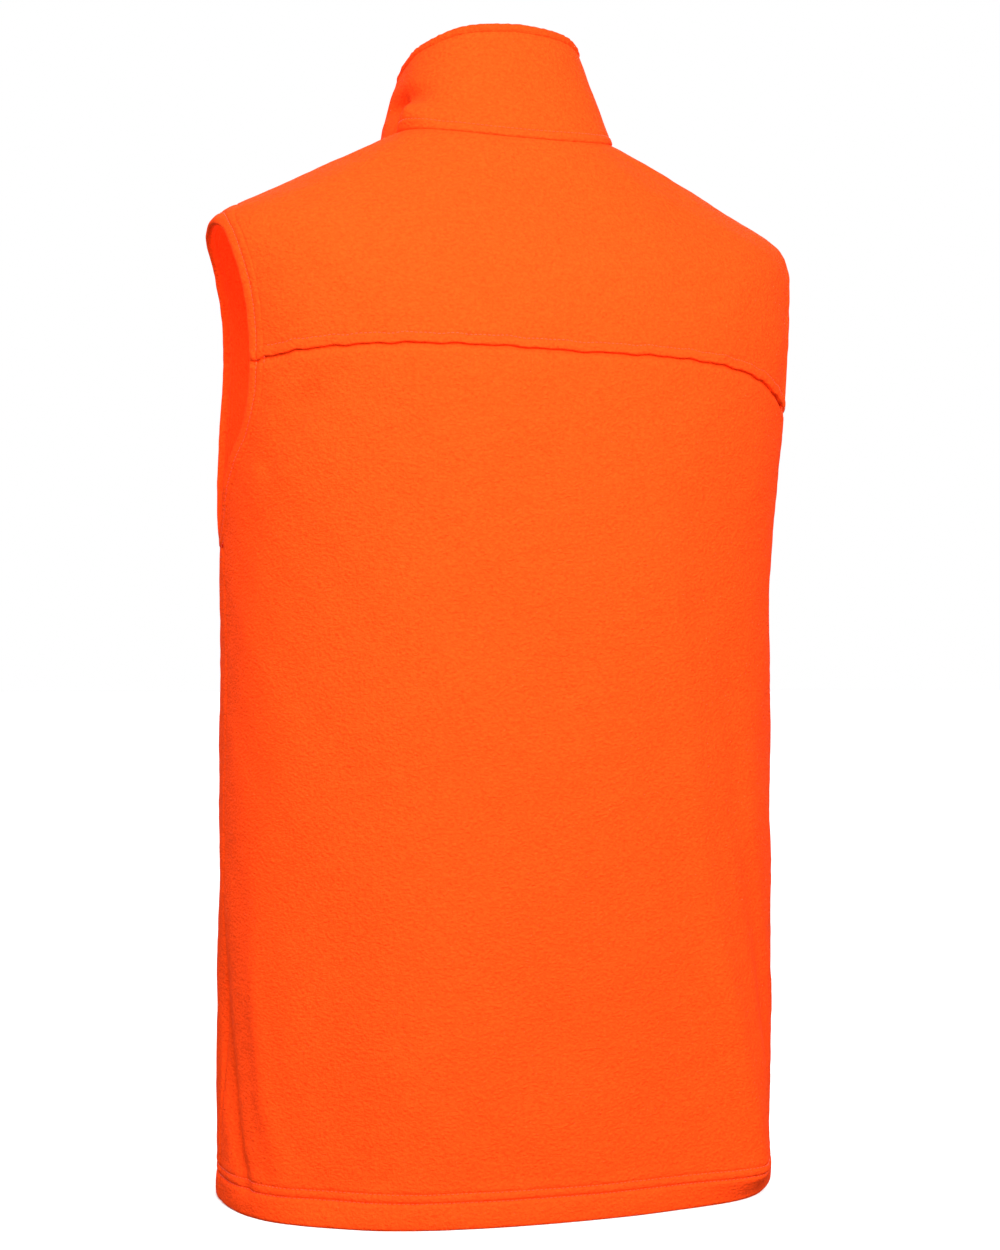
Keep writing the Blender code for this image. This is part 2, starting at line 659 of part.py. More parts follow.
def build_pocket(side, sign, materials, collection, cutters):
    line = pocket_zip_line(sign)
    half = POCKET_ZIP_LENGTH / 2
    name = side + "_pocket_"
    stops_at = half - POCKET_STOP_END
    coil_half = stops_at - POCKET_STOP_LENGTH - CLEAR
    for edge, way in (("front", -sign), ("back", sign)):
        tape_side = mirrored(POCKET_TAPE_SIDE, way)
        bent_bar(name + edge + "_tape", line, tape_side, POCKET_TAPE_DEPTH, (-half, half),
                 materials["tape"], collection, POCKET_ZIP_STEPS)
        coil_side = mirrored((CHAIN_GAP, COIL_SIDE), way)
        bent_bar(name + edge + "_coil", line, coil_side, COIL_DEPTH, (-coil_half, coil_half),
                 materials["plastic"], collection, POCKET_ZIP_STEPS)
    stop_side = (-COIL_SIDE, COIL_SIDE)
    top_stop = (stops_at - POCKET_STOP_LENGTH, stops_at)
    bottom_stop = (-stops_at, POCKET_STOP_LENGTH - stops_at)
    metal = materials["metal"]
    bent_bar(name + "top_stop", line, stop_side, COIL_DEPTH, top_stop, metal, collection)
    bent_bar(name + "bottom_stop", line, stop_side, COIL_DEPTH, bottom_stop, metal, collection)
    along = top_stop[0] - POCKET_SLIDER["length"] / 2 - CLEAR
    slider = build_slider(name + "slider", POCKET_SLIDER, line, along, metal, collection, cutters)
    hang_on_axis(name + "zip_arc_centre", slider, line.centre, collection)
    build_pull(name + "pull", POCKET_PULL, POCKET_SLIDER, line, along, metal, collection,
               POCKET_PULL_LEAN)

    def place(across, up):
        level = BAG_Z[0] + (BAG_Z[1] - BAG_Z[0]) * up
        share = across if sign > 0 else 1 - across
        x = BAG_X[1] + (BAG_X[0] - BAG_X[1]) * share
        phi = front_phi(x, level) * sign
        return inset(body_point, phi, level, BAG_DEPTH + BAG_THICKNESS)

    sheet(name + "bag", 8, 6, place, BAG_THICKNESS, materials["lining"], collection)
    slot_along = (POCKET_SLOT_END - half, half - POCKET_SLOT_END)
    slot_side = (-POCKET_SLOT_SIDE, POCKET_SLOT_SIDE)
    slot_depth = (-CUTTER_REACH, FABRIC + CUTTER_REACH)
    return bent_bar(name + "slot_cutter", line, slot_side, slot_depth, slot_along, None, cutters,
                    POCKET_ZIP_STEPS)


# ---------------------------------------------------------------------------------------------
# Neck finishings


def build_neck_tape(tape, collection):
    depth = FABRIC + CLEAR + CLEAR + NECK_TAPE_THICKNESS
    reach = collar_front_phi(LINING_EDGE, 0.5) * NECK_TAPE_TURNS / COLLAR_TURNS

    def place(across, up):
        phi = (2 * across - 1) * reach
        tall = (collar_point(phi, 1.0) - collar_point(phi, 0.0)).length
        rise = NECK_TAPE_HEIGHTS[0] + (NECK_TAPE_HEIGHTS[1] - NECK_TAPE_HEIGHTS[0]) * up
        return inset(collar_point, phi, rise / tall, depth)

    sheet("neck_tape", NECK_TAPE_TURNS, 1, place, NECK_TAPE_THICKNESS, tape, collection)


def build_label(cloth, collection):
    def place(across, up):
        level = LABEL_LEVELS[0] + (LABEL_LEVELS[1] - LABEL_LEVELS[0]) * up
        side_x = smooth_value(LEVELS, SIDE_X, level)
        x = (2 * across - 1) * LABEL_HALF_WIDTH
        phi = math.copysign(math.asin((abs(x) / side_x) ** (BACK_POWER[-1] / 2)), x)
        return inset(body_point, phi, level, CLEAR + LABEL_THICKNESS)

    sheet("neck_label", 6, 3, place, LABEL_THICKNESS, cloth, collection)


def build_hang_loop(tape, collection):
    """A cord loop below the neck seam, held by its two ends, its eye open to the front."""
    seam = body_point(0.0, NECK_LEVEL)
    points = []
    for i in range(13):
        angle = math.pi * i / 12
        x = LOOP_HALF_WIDTH * math.cos(angle)
        z = seam.z - LOOP_BELOW_SEAM - LOOP_DROP * math.sin(angle)
        points.append((x, seam.y - LOOP_STAND_OFF, z))
    wire_solid("hang_loop", points, LOOP_WIRE, Matrix.Identity(4), tape, collection)


def build_vest():
    clear_scene()
    collection = bpy.data.collections.new(VEST_NAME)
    cutters = bpy.data.collections.new("cutters")
    bpy.context.scene.collection.children.link(collection)
    bpy.context.scene.collection.children.link(cutters)
    materials = {
        "fleece": make_material("fleece", ORANGE, 0.95),
        "lining": make_material("lining", LINING_ORANGE, 0.9),
        "binding": make_material("binding", BINDING_ORANGE, 0.9),
        "tape": make_material("zip_tape", TAPE_ORANGE, 0.8),
        "plastic": make_material("zip_plastic", BLACK, 0.45),
        "metal": make_material("zip_metal", NICKEL, 0.4, 1.0),
        "label": make_material("label", LABEL_GREY, 0.7),
    }
    build_back_panel(materials["fleece"], collection)
    build_back_yoke(materials["fleece"], collection)
    build_collar(materials["fleece"], materials["lining"], materials["binding"], collection)
    line, box_span = build_main_zip(materials["tape"], materials["plastic"], collection)
    build_retainer_box(line, box_span, materials["plastic"], collection, cutters)
    build_main_slider(line, materials["metal"], collection, cutters)
    for side, sign in (("left", 1), ("right", -1)):
        panel = build_front_panel(side, sign, materials["fleece"], collection)
        slot = build_pocket(side, sign, materials, collection, cutters)
        combine(panel, slot, "DIFFERENCE")
    build_neck_tape(materials["tape"], collection)
    build_label(materials["label"], collection)
    build_hang_loop(materials["tape"], collection)


build_vest()
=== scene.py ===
"""Blaze orange fleece vest: its looks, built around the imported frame.

The vest stands on its hem as if worn: +Z is up, the front faces -Y and +X is the wearer's left.
Lengths are in metres. The body is the same smooth form as in the CAD: the angle phi runs around it
from 0 at the centre back to 180 degrees at the centre front, positive on the wearer's left, and a
level runs up it from the hem to the neck seam. Cloth is laid on that form at an offset, measured
outwards from the inner face of the CAD's cloth.
"""

import math

import bmesh
import bpy
import numpy as np
from mathutils import Matrix, Vector


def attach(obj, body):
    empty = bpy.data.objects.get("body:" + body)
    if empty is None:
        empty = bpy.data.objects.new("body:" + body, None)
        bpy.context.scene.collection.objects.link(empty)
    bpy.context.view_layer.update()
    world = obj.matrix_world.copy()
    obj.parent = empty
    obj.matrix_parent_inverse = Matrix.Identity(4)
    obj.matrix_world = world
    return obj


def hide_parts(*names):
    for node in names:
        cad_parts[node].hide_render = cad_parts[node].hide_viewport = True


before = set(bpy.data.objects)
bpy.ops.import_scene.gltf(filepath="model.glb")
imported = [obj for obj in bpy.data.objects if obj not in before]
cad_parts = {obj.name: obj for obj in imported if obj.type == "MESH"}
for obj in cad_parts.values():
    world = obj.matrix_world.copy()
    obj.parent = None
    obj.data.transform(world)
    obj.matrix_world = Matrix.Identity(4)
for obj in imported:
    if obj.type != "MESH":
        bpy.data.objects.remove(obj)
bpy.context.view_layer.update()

MM = 0.001
DEG = math.pi / 180

# The form, as in the CAD.
FABRIC = 0.0024
FRONT_REACH = 0.1445
FRONT_RADIUS = 2.05
FRONT_BULGE_Z = 0.21
HEM_STRAIGHT = 0.012
NECK_LEVEL = 0.79
FRONT_EDGE = 0.006
LEVELS = (0.0, 0.14, 0.30, 0.43, 0.52, 0.60, 0.645, 0.675, 0.71, 0.75, 0.79)
SIDE_X = (0.192, 0.1915, 0.191, 0.192, 0.198, 0.204, 0.2056, 0.199, 0.163, 0.121, 0.0812)
SIDE_Y = (-0.006, -0.002, 0.003, 0.006, 0.013, 0.018, 0.018, 0.015, 0.015, 0.016, 0.018)
SIDE_Z = (0.0, 0.14, 0.30, 0.432, 0.523, 0.599, 0.636, 0.651, 0.670, 0.6915, 0.7135)
BACK_Y = (0.127, 0.1345, 0.1400, 0.1421, 0.1405, 0.131, 0.1185, 0.109, 0.098, 0.0855, 0.0725)
BACK_Z = (0.0, 0.14, 0.30, 0.429, 0.513, 0.581, 0.616, 0.635, 0.656, 0.681, 0.705)
FRONT_Z = (0.0, 0.14, 0.30, 0.43, 0.50, 0.545, 0.565, 0.578, 0.592, 0.606, 0.62)
BACK_POWER = (2.45, 2.35, 2.2, 2.15, 2.15, 2.15, 2.15, 2.15, 2.15, 2.15, 2.15)
FRONT_POWER = (2.05, 2.05, 2.05, 2.05, 2.05, 2.1, 2.2, 2.3, 2.5, 2.65, 2.8)
COLLAR_TOP_X = 0.0590
COLLAR_TOP_BACK_Y = 0.0430
COLLAR_TOP_SIDE_Y = -0.008
COLLAR_TOP_Z_ANGLES = (0.0, 45.0, 90.0, 135.0, 180.0)
COLLAR_TOP_Z = (0.789, 0.786, 0.776, 0.744, 0.70)
LINING_EDGE = 0.0195

# Metres of cloth per radian of phi, and per unit of level at the back.
BODY_REACH = 0.17
SIDE_REACH = 0.19
SHOULDER_REACH = 0.15
BACK_RISE = 0.86

# Cloth.
CLOTH = 0.0022              # thickness of the fleece as modelled
OUTER_MID = 0.00115         # offset of the middle of the outer layer
TURNED_MID = -0.00118       # offset of the middle of a turned-in layer
STEP = 0.004                # usual spacing of the cloth's mesh
EDGE_RADIUS = 0.0011        # rounding of a cut or folded edge
EDGE_START = 0.0001
SEAM_LAP = 0.00005          # the panels just meet at the side and shoulder seams
STITCH_PITCH = 0.0029
STITCH_LENGTH = 0.0021
THREAD_RADIUS = 0.00024
HEM_STITCHES = (0.0170, 0.0228)
HEM_DEPTH = 0.0255
HEM_DENSE = 0.032
HEM_PUFF = 0.0011
ARMHOLE_BAND = 0.0130       # from the armhole's edge to the outer of its two stitch lines
ARMHOLE_STITCH = 0.0068
YOKE_WELT = 0.0060
NECK_WELT = 0.0062
ZIP_WELT = 0.0070
ZIP_STITCH = 0.0073
SLOT_WELT = 0.0055
SLOT_STITCH = 0.0060
BACK_HALF_WIDTH = 0.262
LINING_MID = -0.0016
BAND_DEPTH = 0.0064         # how far down the collar's layers end inside its edge band
BAND_MIDDLE = -0.0002
BAND_HALF_WIDTH = 0.0034
BAND_HALF_HEIGHT = 0.0035

# Grooves: their depth and half width.
SEAM_DENT = (0.0011, 0.0016)
BAND_GROOVE = (0.0008, 0.0011)
HEM_GROOVES = ((0.0011, 0.0009), (0.0006, 0.0009))
ZIP_GROOVE = (0.0006, 0.0007)
YOKE_GROOVE = (0.00035, 0.0007)
NECK_GROOVE = (0.0004, 0.0007)

# Distances of the mesh's rows or columns from a seam, a pocket's slot, the zip's edge and the
# yoke's edge, close together where the cloth bends.
SEAM_STEPS = np.array([0.0, 0.0006, 0.0014, 0.0024, 0.0036, 0.0056, 0.0085])
SLOT_STEPS = np.array([0.0, 0.0005, 0.0011, 0.0020, 0.0034, 0.0050, 0.0060, 0.0070, 0.0080, 0.0095,
                       0.0120])
ZIP_STEPS = np.array([0.0, 0.0006, 0.0013, 0.0024, 0.0040, 0.0056, 0.0064, 0.0070, 0.0076, 0.0085,
                      0.0100, 0.0120])
YOKE_STEPS = np.array([0.0003, 0.0007, 0.0012, 0.0018, 0.0026, 0.0034, 0.0042, 0.0050, 0.0056,
                       0.0062, 0.0068, 0.0076, 0.0088, 0.0104])
YOKE_TUCK_STEPS = np.array([0.0010, 0.0022, 0.0036])
SLOT_END_STEPS = np.array([-0.009, -0.0075, -0.0065, -0.0055, -0.004, -0.0025, -0.0012, 0.0])
SLOT_TO_SEAM = 0.11         # width of a front's cloth from its pocket's slot to its side seam
SLOT_TO_ZIP = 0.107         # and from the slot to the zip

# The armhole's edge, upwards over the back and down over the front, as (degrees, level).
ARMHOLE = ((90.0, 0.4655), (87.2, 0.4765), (83.0, 0.4895), (76.0, 0.5080), (72.2, 0.5265),
           (70.5, 0.5460), (70.0, 0.5635), (70.2, 0.5895), (71.8, 0.6155), (75.2, 0.6360),
           (81.0, 0.6540), (90.0, 0.6630), (100.0, 0.6590), (107.5, 0.6430), (112.5, 0.6140),
           (114.5, 0.5800), (113.5, 0.5450), (109.0, 0.5100), (103.5, 0.4760), (99.8, 0.4545),
           (96.5, 0.4455), (93.2, 0.4525))

# The yoke seam, from the wearer's right to left, as (degrees, level).
YOKE = ((-75.0, 0.530), (-62.5, 0.538), (-45.0, 0.5555), (-25.0, 0.5665), (0.0, 0.5700),
        (12.0, 0.5705), (30.0, 0.5675), (50.0, 0.5595), (66.0, 0.5515), (75.0, 0.5485))

# Folds: guide points (degrees, level, height, half width), heights and widths in millimetres.
BODY_FOLDS = (
    ((-42.0, 0.340, 0.0, 38), (-42.0, 0.180, 6.0, 40), (-41.0, 0.060, 12.5, 40),
     (-40.0, 0.000, 15.0, 42)),
    ((45.0, 0.300, 0.0, 36), (45.0, 0.160, -3.0, 36), (45.0, 0.000, -6.5, 36)),
    ((-15.0, 0.540, 0.0, 12), (-21.8, 0.3725, 1.2, 13), (-26.8, 0.2355, 3.4, 12),
     (-35.0, 0.110, 4.2, 11), (-43.0, 0.020, 2.4, 10)),
    ((-36.0, 0.420, 0.0, 14), (-40.0, 0.250, -3.0, 13), (-51.0, 0.120, -5.0, 13),
     (-60.0, 0.040, -1.0, 14)),
    ((90.0, 0.200, 0.0, 9), (89.0, 0.130, -4.0, 10), (85.0, 0.080, -7.5, 10),
     (79.0, 0.040, -5.5, 8), (74.0, 0.020, -3.0, 7)),
    ((72.0, 0.240, 0.0, 12), (71.0, 0.150, 1.8, 11), (67.0, 0.080, 3.0, 11),
     (60.0, 0.030, 1.5, 10)),
    ((42.0, 0.550, 0.0, 9), (54.0, 0.522, -4.6, 10), (66.0, 0.484, -3.0, 9)),
    ((52.0, 0.545, 0.0, 10), (64.0, 0.500, 1.2, 10), (76.0, 0.455, 0.4, 10)),
    ((110.0, 0.668, -2.5, 20), (113.0, 0.635, -5.0, 22), (113.0, 0.590, -3.5, 24),
     (111.0, 0.535, 0.0, 20)),
    ((5.8, 0.640, 0.10, 2.0), (5.8, 0.200, 0.14, 2.0), (5.8, 0.040, 0.10, 2.0)),
    ((-1.5, 0.640, 0.10, 2.0), (-1.2, 0.200, 0.16, 2.0), (-0.9, 0.040, 0.10, 2.0)),
    ((-80.0, 0.300, 0.0, 12), (-84.0, 0.180, 2.0, 14), (-82.0, 0.060, 1.0, 12)),
    ((128.0, 0.430, 0.0, 14), (140.0, 0.330, 1.4, 16), (150.0, 0.290, 0.0, 14)),
    ((-126.0, 0.440, 0.0, 14), (-138.0, 0.350, -1.4, 16), (-149.0, 0.300, 0.0, 14)),
    ((118.0, 0.270, 0.0, 14), (112.0, 0.150, -2.4, 16), (108.0, 0.040, -1.6, 14)),
    ((-112.0, 0.250, 0.0, 14), (-108.0, 0.140, 2.4, 16), (-110.0, 0.040, 1.4, 14)),
)

# Colours, all linear.
FLEECE = (0.950, 0.0620, 0.0058)
# The fleece's colour darkened for the hollows between its tufts: painted shade.
FLEECE_TUFT_SHADE = (0.760, 0.0360, 0.0028)
LINING = (0.920, 0.0560, 0.0052)
BINDING = (0.920, 0.0540, 0.0050)
TAPE = (0.800, 0.0500, 0.0056)
THREAD = (0.930, 0.0560, 0.0054)
PLASTIC = (0.018, 0.018, 0.020)
METAL = (0.60, 0.60, 0.62)
LABEL = (0.62, 0.62, 0.60)
FLOOR = (0.90, 0.90, 0.90)
SKY = 1.0
GROUND = 0.27               # light from below the horizon, under the floor

# Camera, at the viewing angle of the photograph.
CAMERA_PLACE = (0.5335, 1.4659, 0.347)
CAMERA_LENS = 64.8
CAMERA_SHIFT = (0.0024, 0.044)

# Zips, as in the CAD.
CLEAR = 0.0004
ZIP_TOP_Z = 0.694
ZIP_BOTTOM_Z = 0.002
TAPE_END = 0.001
STOP_LENGTH = 0.0028
BOX_LENGTH = 0.010
PIN_LENGTH = 0.012
POCKET_CENTRE_X = 0.118
POCKET_CENTRE_Z = 0.185
POCKET_SLANT = 12.0 * DEG
SLOT_SLANT = 10.45 * DEG    # the same slant, seen from straight ahead
POCKET_ZIP_RADIUS = 1.4
POCKET_ZIP_LENGTH = 0.156
POCKET_SLOT_SIDE = 0.005
POCKET_SLOT_END = 0.003
POCKET_STOP_END = 0.004
POCKET_STOP_LENGTH = 0.0025
ZIPS = {
    "main": {
        "tape": (0.0036, 0.0165), "tape_depth": 0.0038,
        "tooth_root": 0.0036, "tooth_depths": (0.0022, 0.0046), "pitch": 0.0021,
        "slider_side": 0.0045, "slider_length": 0.0110,
        "slider_top": (0.0006, 0.0018), "slider_bottom": (0.0050, 0.0060),
        "pull_side": 0.0031, "pull_tip": 0.0040, "pull_length": 0.030, "pull_lean": 0.0,
    },
    "pocket": {
        "tape": (0.0030, 0.0115), "tape_depth": 0.0037,
        "tooth_root": 0.0030, "tooth_depths": (0.0024, 0.0042), "pitch": 0.0014,
        "slider_side": 0.0038, "slider_length": 0.0095,
        "slider_top": (0.0007, 0.0018), "slider_bottom": (0.0046, 0.0055),
        "pull_side": 0.0027, "pull_tip": 0.0034, "pull_length": 0.024, "pull_lean": 8.0 * DEG,
    },
}
TOOTH_TIP = 0.00045         # half the slot between the two rows of teeth
BLOCK_BEVEL = 0.0005
BRIDGE_RISE = 0.0027
BRIDGE_WIRE = 0.0006
PULL_THICKNESS = 0.0011
PULL_BAR = 0.0011
PULL_RIM = 0.00025

# The pocket bags, and the finishings inside the neck.
BAG_X = (0.026, 0.156)
BAG_Z = (0.046, 0.280)
BAG_SAG = 0.0062
NECK_TAPE_DEPTH = -0.0036
NECK_TAPE_END = 82 * DEG
LABEL_HALF_WIDTH = 0.022
LABEL_LEVELS = (0.715, 0.755)
LOOP_HALF_WIDTH = 0.020
LOOP_DROP = 0.017


# ---------------------------------------------------------------------------------------------
# The form


def hermite(positions, values, where):
    """A smooth curve through the given values, read at many positions."""
    positions = np.asarray(positions, float)
    values = np.asarray(values, float)
    slopes = np.gradient(values, positions)
    i = np.clip(np.searchsorted(positions, where, side="right") - 1, 0, len(positions) - 2)
    span = positions[i + 1] - positions[i]
    s = (where - positions[i]) / span
    rise = (3 - 2 * s) * s * s
    ease_in = s * (1 - s) ** 2 * span * slopes[i]
    ease_out = s * s * (s - 1) * span * slopes[i + 1]
    return values[i] * (1 - rise) + values[i + 1] * rise + ease_in + ease_out


def smooth(x):
    """0 below 0, 1 above 1, eased between them."""
    x = np.clip(x, 0.0, 1.0)
    return x * x * (3 - 2 * x)


def front_line_y(z):
    centre_y = FRONT_RADIUS - FRONT_REACH
    inner_radius = FRONT_RADIUS - FABRIC
    return centre_y - np.sqrt(inner_radius ** 2 - (z - FRONT_BULGE_Z) ** 2)


def ring(phi, side_x, side_y, back_y, front_y, back_power, front_power):
    """The x and y of a cross-section, and how far each point is along it to the middle."""
    cosine, sine = np.cos(phi), np.sin(phi)
    power = np.where(cosine >= 0, back_power, front_power)
    along = np.abs(cosine) ** (2 / power)
    x = side_x * np.copysign(np.abs(sine) ** (2 / power), sine)
    middle_y = np.where(cosine >= 0, back_y, front_y)
    return x, side_y + (middle_y - side_y) * along


def body(phi, level):
    """Points of the body's form."""
    phi, level = np.broadcast_arrays(np.asarray(phi, float), np.asarray(level, float))
    held = np.maximum(level, HEM_STRAIGHT)
    guides = (SIDE_X, SIDE_Y, SIDE_Z, BACK_Y, BACK_Z, FRONT_Z, BACK_POWER, FRONT_POWER)
    (side_x, side_y, side_z, back_y, back_z, front_z, back_power,
     front_power) = (hermite(LEVELS, guide, held) for guide in guides)
    x, y = ring(phi, side_x, side_y, back_y, front_line_y(front_z), back_power, front_power)
    cosine = np.cos(phi)
    middle_z = np.where(cosine >= 0, back_z, front_z)
    z = side_z + (middle_z - side_z) * cosine ** 2
    z = np.where(level < HEM_STRAIGHT, level, z)
    return np.stack([x, y, z], axis=-1)


def collar(phi, height):
    """Points of the collar's form, from the neck seam (0) to its top edge (1)."""
    phi, height = np.broadcast_arrays(np.asarray(phi, float), np.asarray(height, float))
    foot = body(phi, np.full_like(phi, NECK_LEVEL))
    turn = np.abs(np.arctan2(np.sin(phi), np.cos(phi))) / DEG
    top_front_y = front_line_y(COLLAR_TOP_Z[-1])
    x, y = ring(phi, COLLAR_TOP_X, COLLAR_TOP_SIDE_Y, COLLAR_TOP_BACK_Y, top_front_y,
                BACK_POWER[-1], FRONT_POWER[-1])
    rim = np.stack([x, y, hermite(COLLAR_TOP_Z_ANGLES, COLLAR_TOP_Z, turn)], axis=-1)
    point = foot + (rim - foot) * height[..., None]
    front_z = FRONT_Z[-1] + (COLLAR_TOP_Z[-1] - FRONT_Z[-1]) * height
    straight_y = front_line_y(FRONT_Z[-1]) * (1 - height) + top_front_y * height
    point[..., 1] += (front_line_y(front_z) - straight_y) * np.maximum(0.0, -np.cos(phi)) ** 2
    return point


def normals(form, phi, level):
    step = 1e-4
    around = form(phi + step, level) - form(phi - step, level)
    up = form(phi, level + step) - form(phi, level - step)
    normal = np.cross(up, around)
    return normal / np.linalg.norm(normal, axis=-1, keepdims=True)


def lay(form, phi, level, offset):
    """Points at an offset outwards from a form, moved by its folds."""
    phi, level, offset = np.broadcast_arrays(phi, level, offset)
    moved = offset + FOLDS[form](phi, level)
    point = form(phi, level) + normals(form, phi, level) * moved[..., None]
    point[..., 0] += neck_shift(form, phi, level)
    if form is collar:
        point[..., 2] -= level ** 2 * 3.5 * MM * np.exp(-((phi / DEG - 68.0) / 24.0) ** 2)
    return point


def front_phi(x, level):
    """The angle at which the front half of the body has the given x, at a level."""
    held = np.maximum(level, HEM_STRAIGHT)
    power = hermite(LEVELS, FRONT_POWER, held)
    sine = (np.abs(x) / hermite(LEVELS, SIDE_X, held)) ** (power / 2)
    return math.pi - np.copysign(np.arcsin(np.minimum(sine, 1.0)), x)


def collar_front_phi(x, height):
    side_x = SIDE_X[-1] + (COLLAR_TOP_X - SIDE_X[-1]) * height
    sine = (np.abs(x) / side_x) ** (FRONT_POWER[-1] / 2)
    return math.pi - np.copysign(np.arcsin(sine), x)


def collar_height(phi):
    return np.linalg.norm(collar(phi, 1.0) - collar(phi, 0.0), axis=-1)


def yoke_level(phi):
    degrees, levels = zip(*YOKE)
    wavy = 0.0004 * np.sin(phi * 41.0) + 0.0003 * np.sin(phi * 73.0 + 1.0)
    return hermite(degrees, levels, np.clip(phi / DEG, degrees[0], degrees[-1])) + wavy


# ---------------------------------------------------------------------------------------------
# Folds


def ridge(phi, level, guide, reach):
    """The height of a long soft fold along its guide. Angles turn into lengths by the reach."""
    spots = np.array([(angle * DEG * reach, at, tall * MM, wide * MM)
                      for angle, at, tall, wide in guide])
    x, y = phi * reach, level
    nearest = np.full(np.shape(x), np.inf)
    value = np.zeros(np.shape(x))
    for start, end in zip(spots, spots[1:]):
        along = end[:2] - start[:2]
        share = ((x - start[0]) * along[0] + (y - start[1]) * along[1]) / (along @ along)
        share = np.clip(share, 0.0, 1.0)
        distance = np.hypot(x - start[0] - along[0] * share, y - start[1] - along[1] * share)
        tall = start[2] + (end[2] - start[2]) * share
        wide = start[3] + (end[3] - start[3]) * share
        here = tall * np.exp(-(distance / wide) ** 2)
        value = np.where(distance < nearest, here, value)
        nearest = np.minimum(nearest, distance)
    return value


def ripple(phi, level, seed):
    """Slight unevenness of soft cloth, from a few waves."""
    draw = np.random.default_rng(seed)
    value = np.zeros(np.shape(phi))
    for length, tall in ((0.110, 0.55), (0.062, 0.30), (0.034, 0.16), (0.017, 0.09), (0.011, 0.06)):
        for _ in range(4):
            way = draw.uniform(0, 2 * math.pi)
            shift = draw.uniform(0, 2 * math.pi)
            along = phi * BODY_REACH * math.cos(way) + level * math.sin(way)
            value = value + tall * MM / 2 * np.sin(2 * math.pi * along / length + shift)
    return value


def near_metal(phi, level):
    """1 on plain cloth, falling to 0 beside the zips, where the cloth keeps to its form."""
    point = body(phi, level)
    beside_zip = np.where(np.cos(phi) < 0, smooth((np.abs(point[..., 0]) - 0.02) / 0.04), 1.0)
    away = np.hypot((np.abs(point[..., 0]) - POCKET_CENTRE_X) / 0.050,
                    (point[..., 2] - POCKET_CENTRE_Z) / 0.115)
    beside_pocket = np.where(np.cos(phi) < 0, smooth((away - 0.75) / 0.5), 1.0)
    return beside_zip * beside_pocket


def body_folds(phi, level):
    value = ripple(phi, level, 5)
    for guide in BODY_FOLDS:
        value = value + ridge(phi, level, guide, BODY_REACH)
    near_hem = smooth(level / 0.02) * 0.6 + 0.4
    return value * near_hem * near_metal(phi, level) * smooth((NECK_LEVEL - level) / 0.03)


COLLAR_FOLDS = (
    ((80.0, 0.10, 2.2, 8), (71.0, 0.17, 5.0, 9), (58.0, 0.14, 2.5, 9), (46.0, 0.10, 0.0, 9)),
    ((95.0, 0.46, -4.0, 8), (80.0, 0.42, -6.0, 7), (66.0, 0.38, -4.4, 7), (50.0, 0.42, 0.0, 8)),
    ((91.0, 0.00, -6.0, 5), (89.0, 0.20, -10.0, 6), (92.0, 0.42, -6.0, 6)),
    ((104.0, 0.10, 0.0, 8), (102.0, 0.35, 2.0, 9), (101.0, 0.70, 1.5, 9), (100.0, 0.95, 0.0, 8)),
)


def neck_shift(form, phi, place):
    """How the collar and the cloth around it sit a little off the form, in x."""
    if form is body:
        share = smooth((place - 0.75) / 0.04)
    else:
        share = 1.0 - 0.60 * place
    right = np.exp(-((phi / DEG + 88.0) / 42.0) ** 2) * 10.0 * MM
    left = np.exp(-((phi / DEG - 92.0) / 26.0) ** 2) * -3.0 * MM * (1 - place * (form is collar))
    return share * (right + left)


def collar_folds(phi, height):
    value = ripple(phi * 0.4, height * 0.08, 9) * 0.7
    for guide in COLLAR_FOLDS:
        # A collar is about 0.07 tall, so its heights are scaled up against its angles.
        value = value + ridge(phi, height * 0.075, [(a, h * 0.075, t, w) for a, h, t, w in guide],
                              0.07)
    ends = smooth((160 - np.abs(phi) / DEG) / 25)
    return value * ends * smooth(height / 0.08 + 0.1) * smooth((1.02 - height) / 0.35)


FOLDS = {body: body_folds, collar: collar_folds}


# ---------------------------------------------------------------------------------------------
# Relief of seams and stitches, all from a distance


def groove(distance, depth, width):
    return -depth * np.exp(-(distance / width) ** 2)


def welt(distance, wide, tall):
    """The raised strip between a seam at 0 and its stitch line at the given width."""
    inside = np.clip(distance / wide, 0.0, 1.0)
    return tall * np.sqrt(np.sin(math.pi * inside))


def bullnose(distance):
    """Share of the full thickness at a distance from a rounded edge."""
    away = np.clip((distance + EDGE_START) / EDGE_RADIUS, 0.02, 1.0)
    return np.sqrt(1 - (1 - away) ** 2)


# ---------------------------------------------------------------------------------------------
# Meshes


def new_piece(name, vertices, quads, material, nodes=(), ride_on="vest"):
    """A smooth mesh from arrays, riding on a body and standing for some CAD nodes."""
    vertices = vertices.reshape(-1, 3)
    vertices[:, 2] = np.maximum(vertices[:, 2], 0.0)    # the hem rests on the floor
    mesh = bpy.data.meshes.new(name)
    mesh.from_pydata(vertices.tolist(), [], [list(quad) for quad in quads])
    mesh.update()
    item = bpy.data.objects.new(name, mesh)
    return place_piece(item, material, nodes, ride_on)


def place_piece(item, material, nodes, ride_on):
    """Link a piece, turn its faces outwards, hang it on its body, and hide the CAD parts that it
    stands for.
    """
    bpy.context.scene.collection.objects.link(item)
    mesh = item.data
    tidy = bmesh.new()
    tidy.from_mesh(mesh)
    bmesh.ops.recalc_face_normals(tidy, faces=tidy.faces)
    tidy.to_mesh(mesh)
    tidy.free()
    mesh.shade_smooth()
    mesh.set_sharp_from_angle(angle=50 * DEG)
    mesh.materials.clear()
    mesh.materials.append(material)
    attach(item, ride_on)
    if nodes:
        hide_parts(*nodes)
    return item


def grid_quads(index):
    """Faces between the neighbours of a grid of vertex numbers."""
    corners = (index[:-1, :-1], index[1:, :-1], index[1:, 1:], index[:-1, 1:])
    return np.stack(corners, axis=-1).reshape(-1, 4)


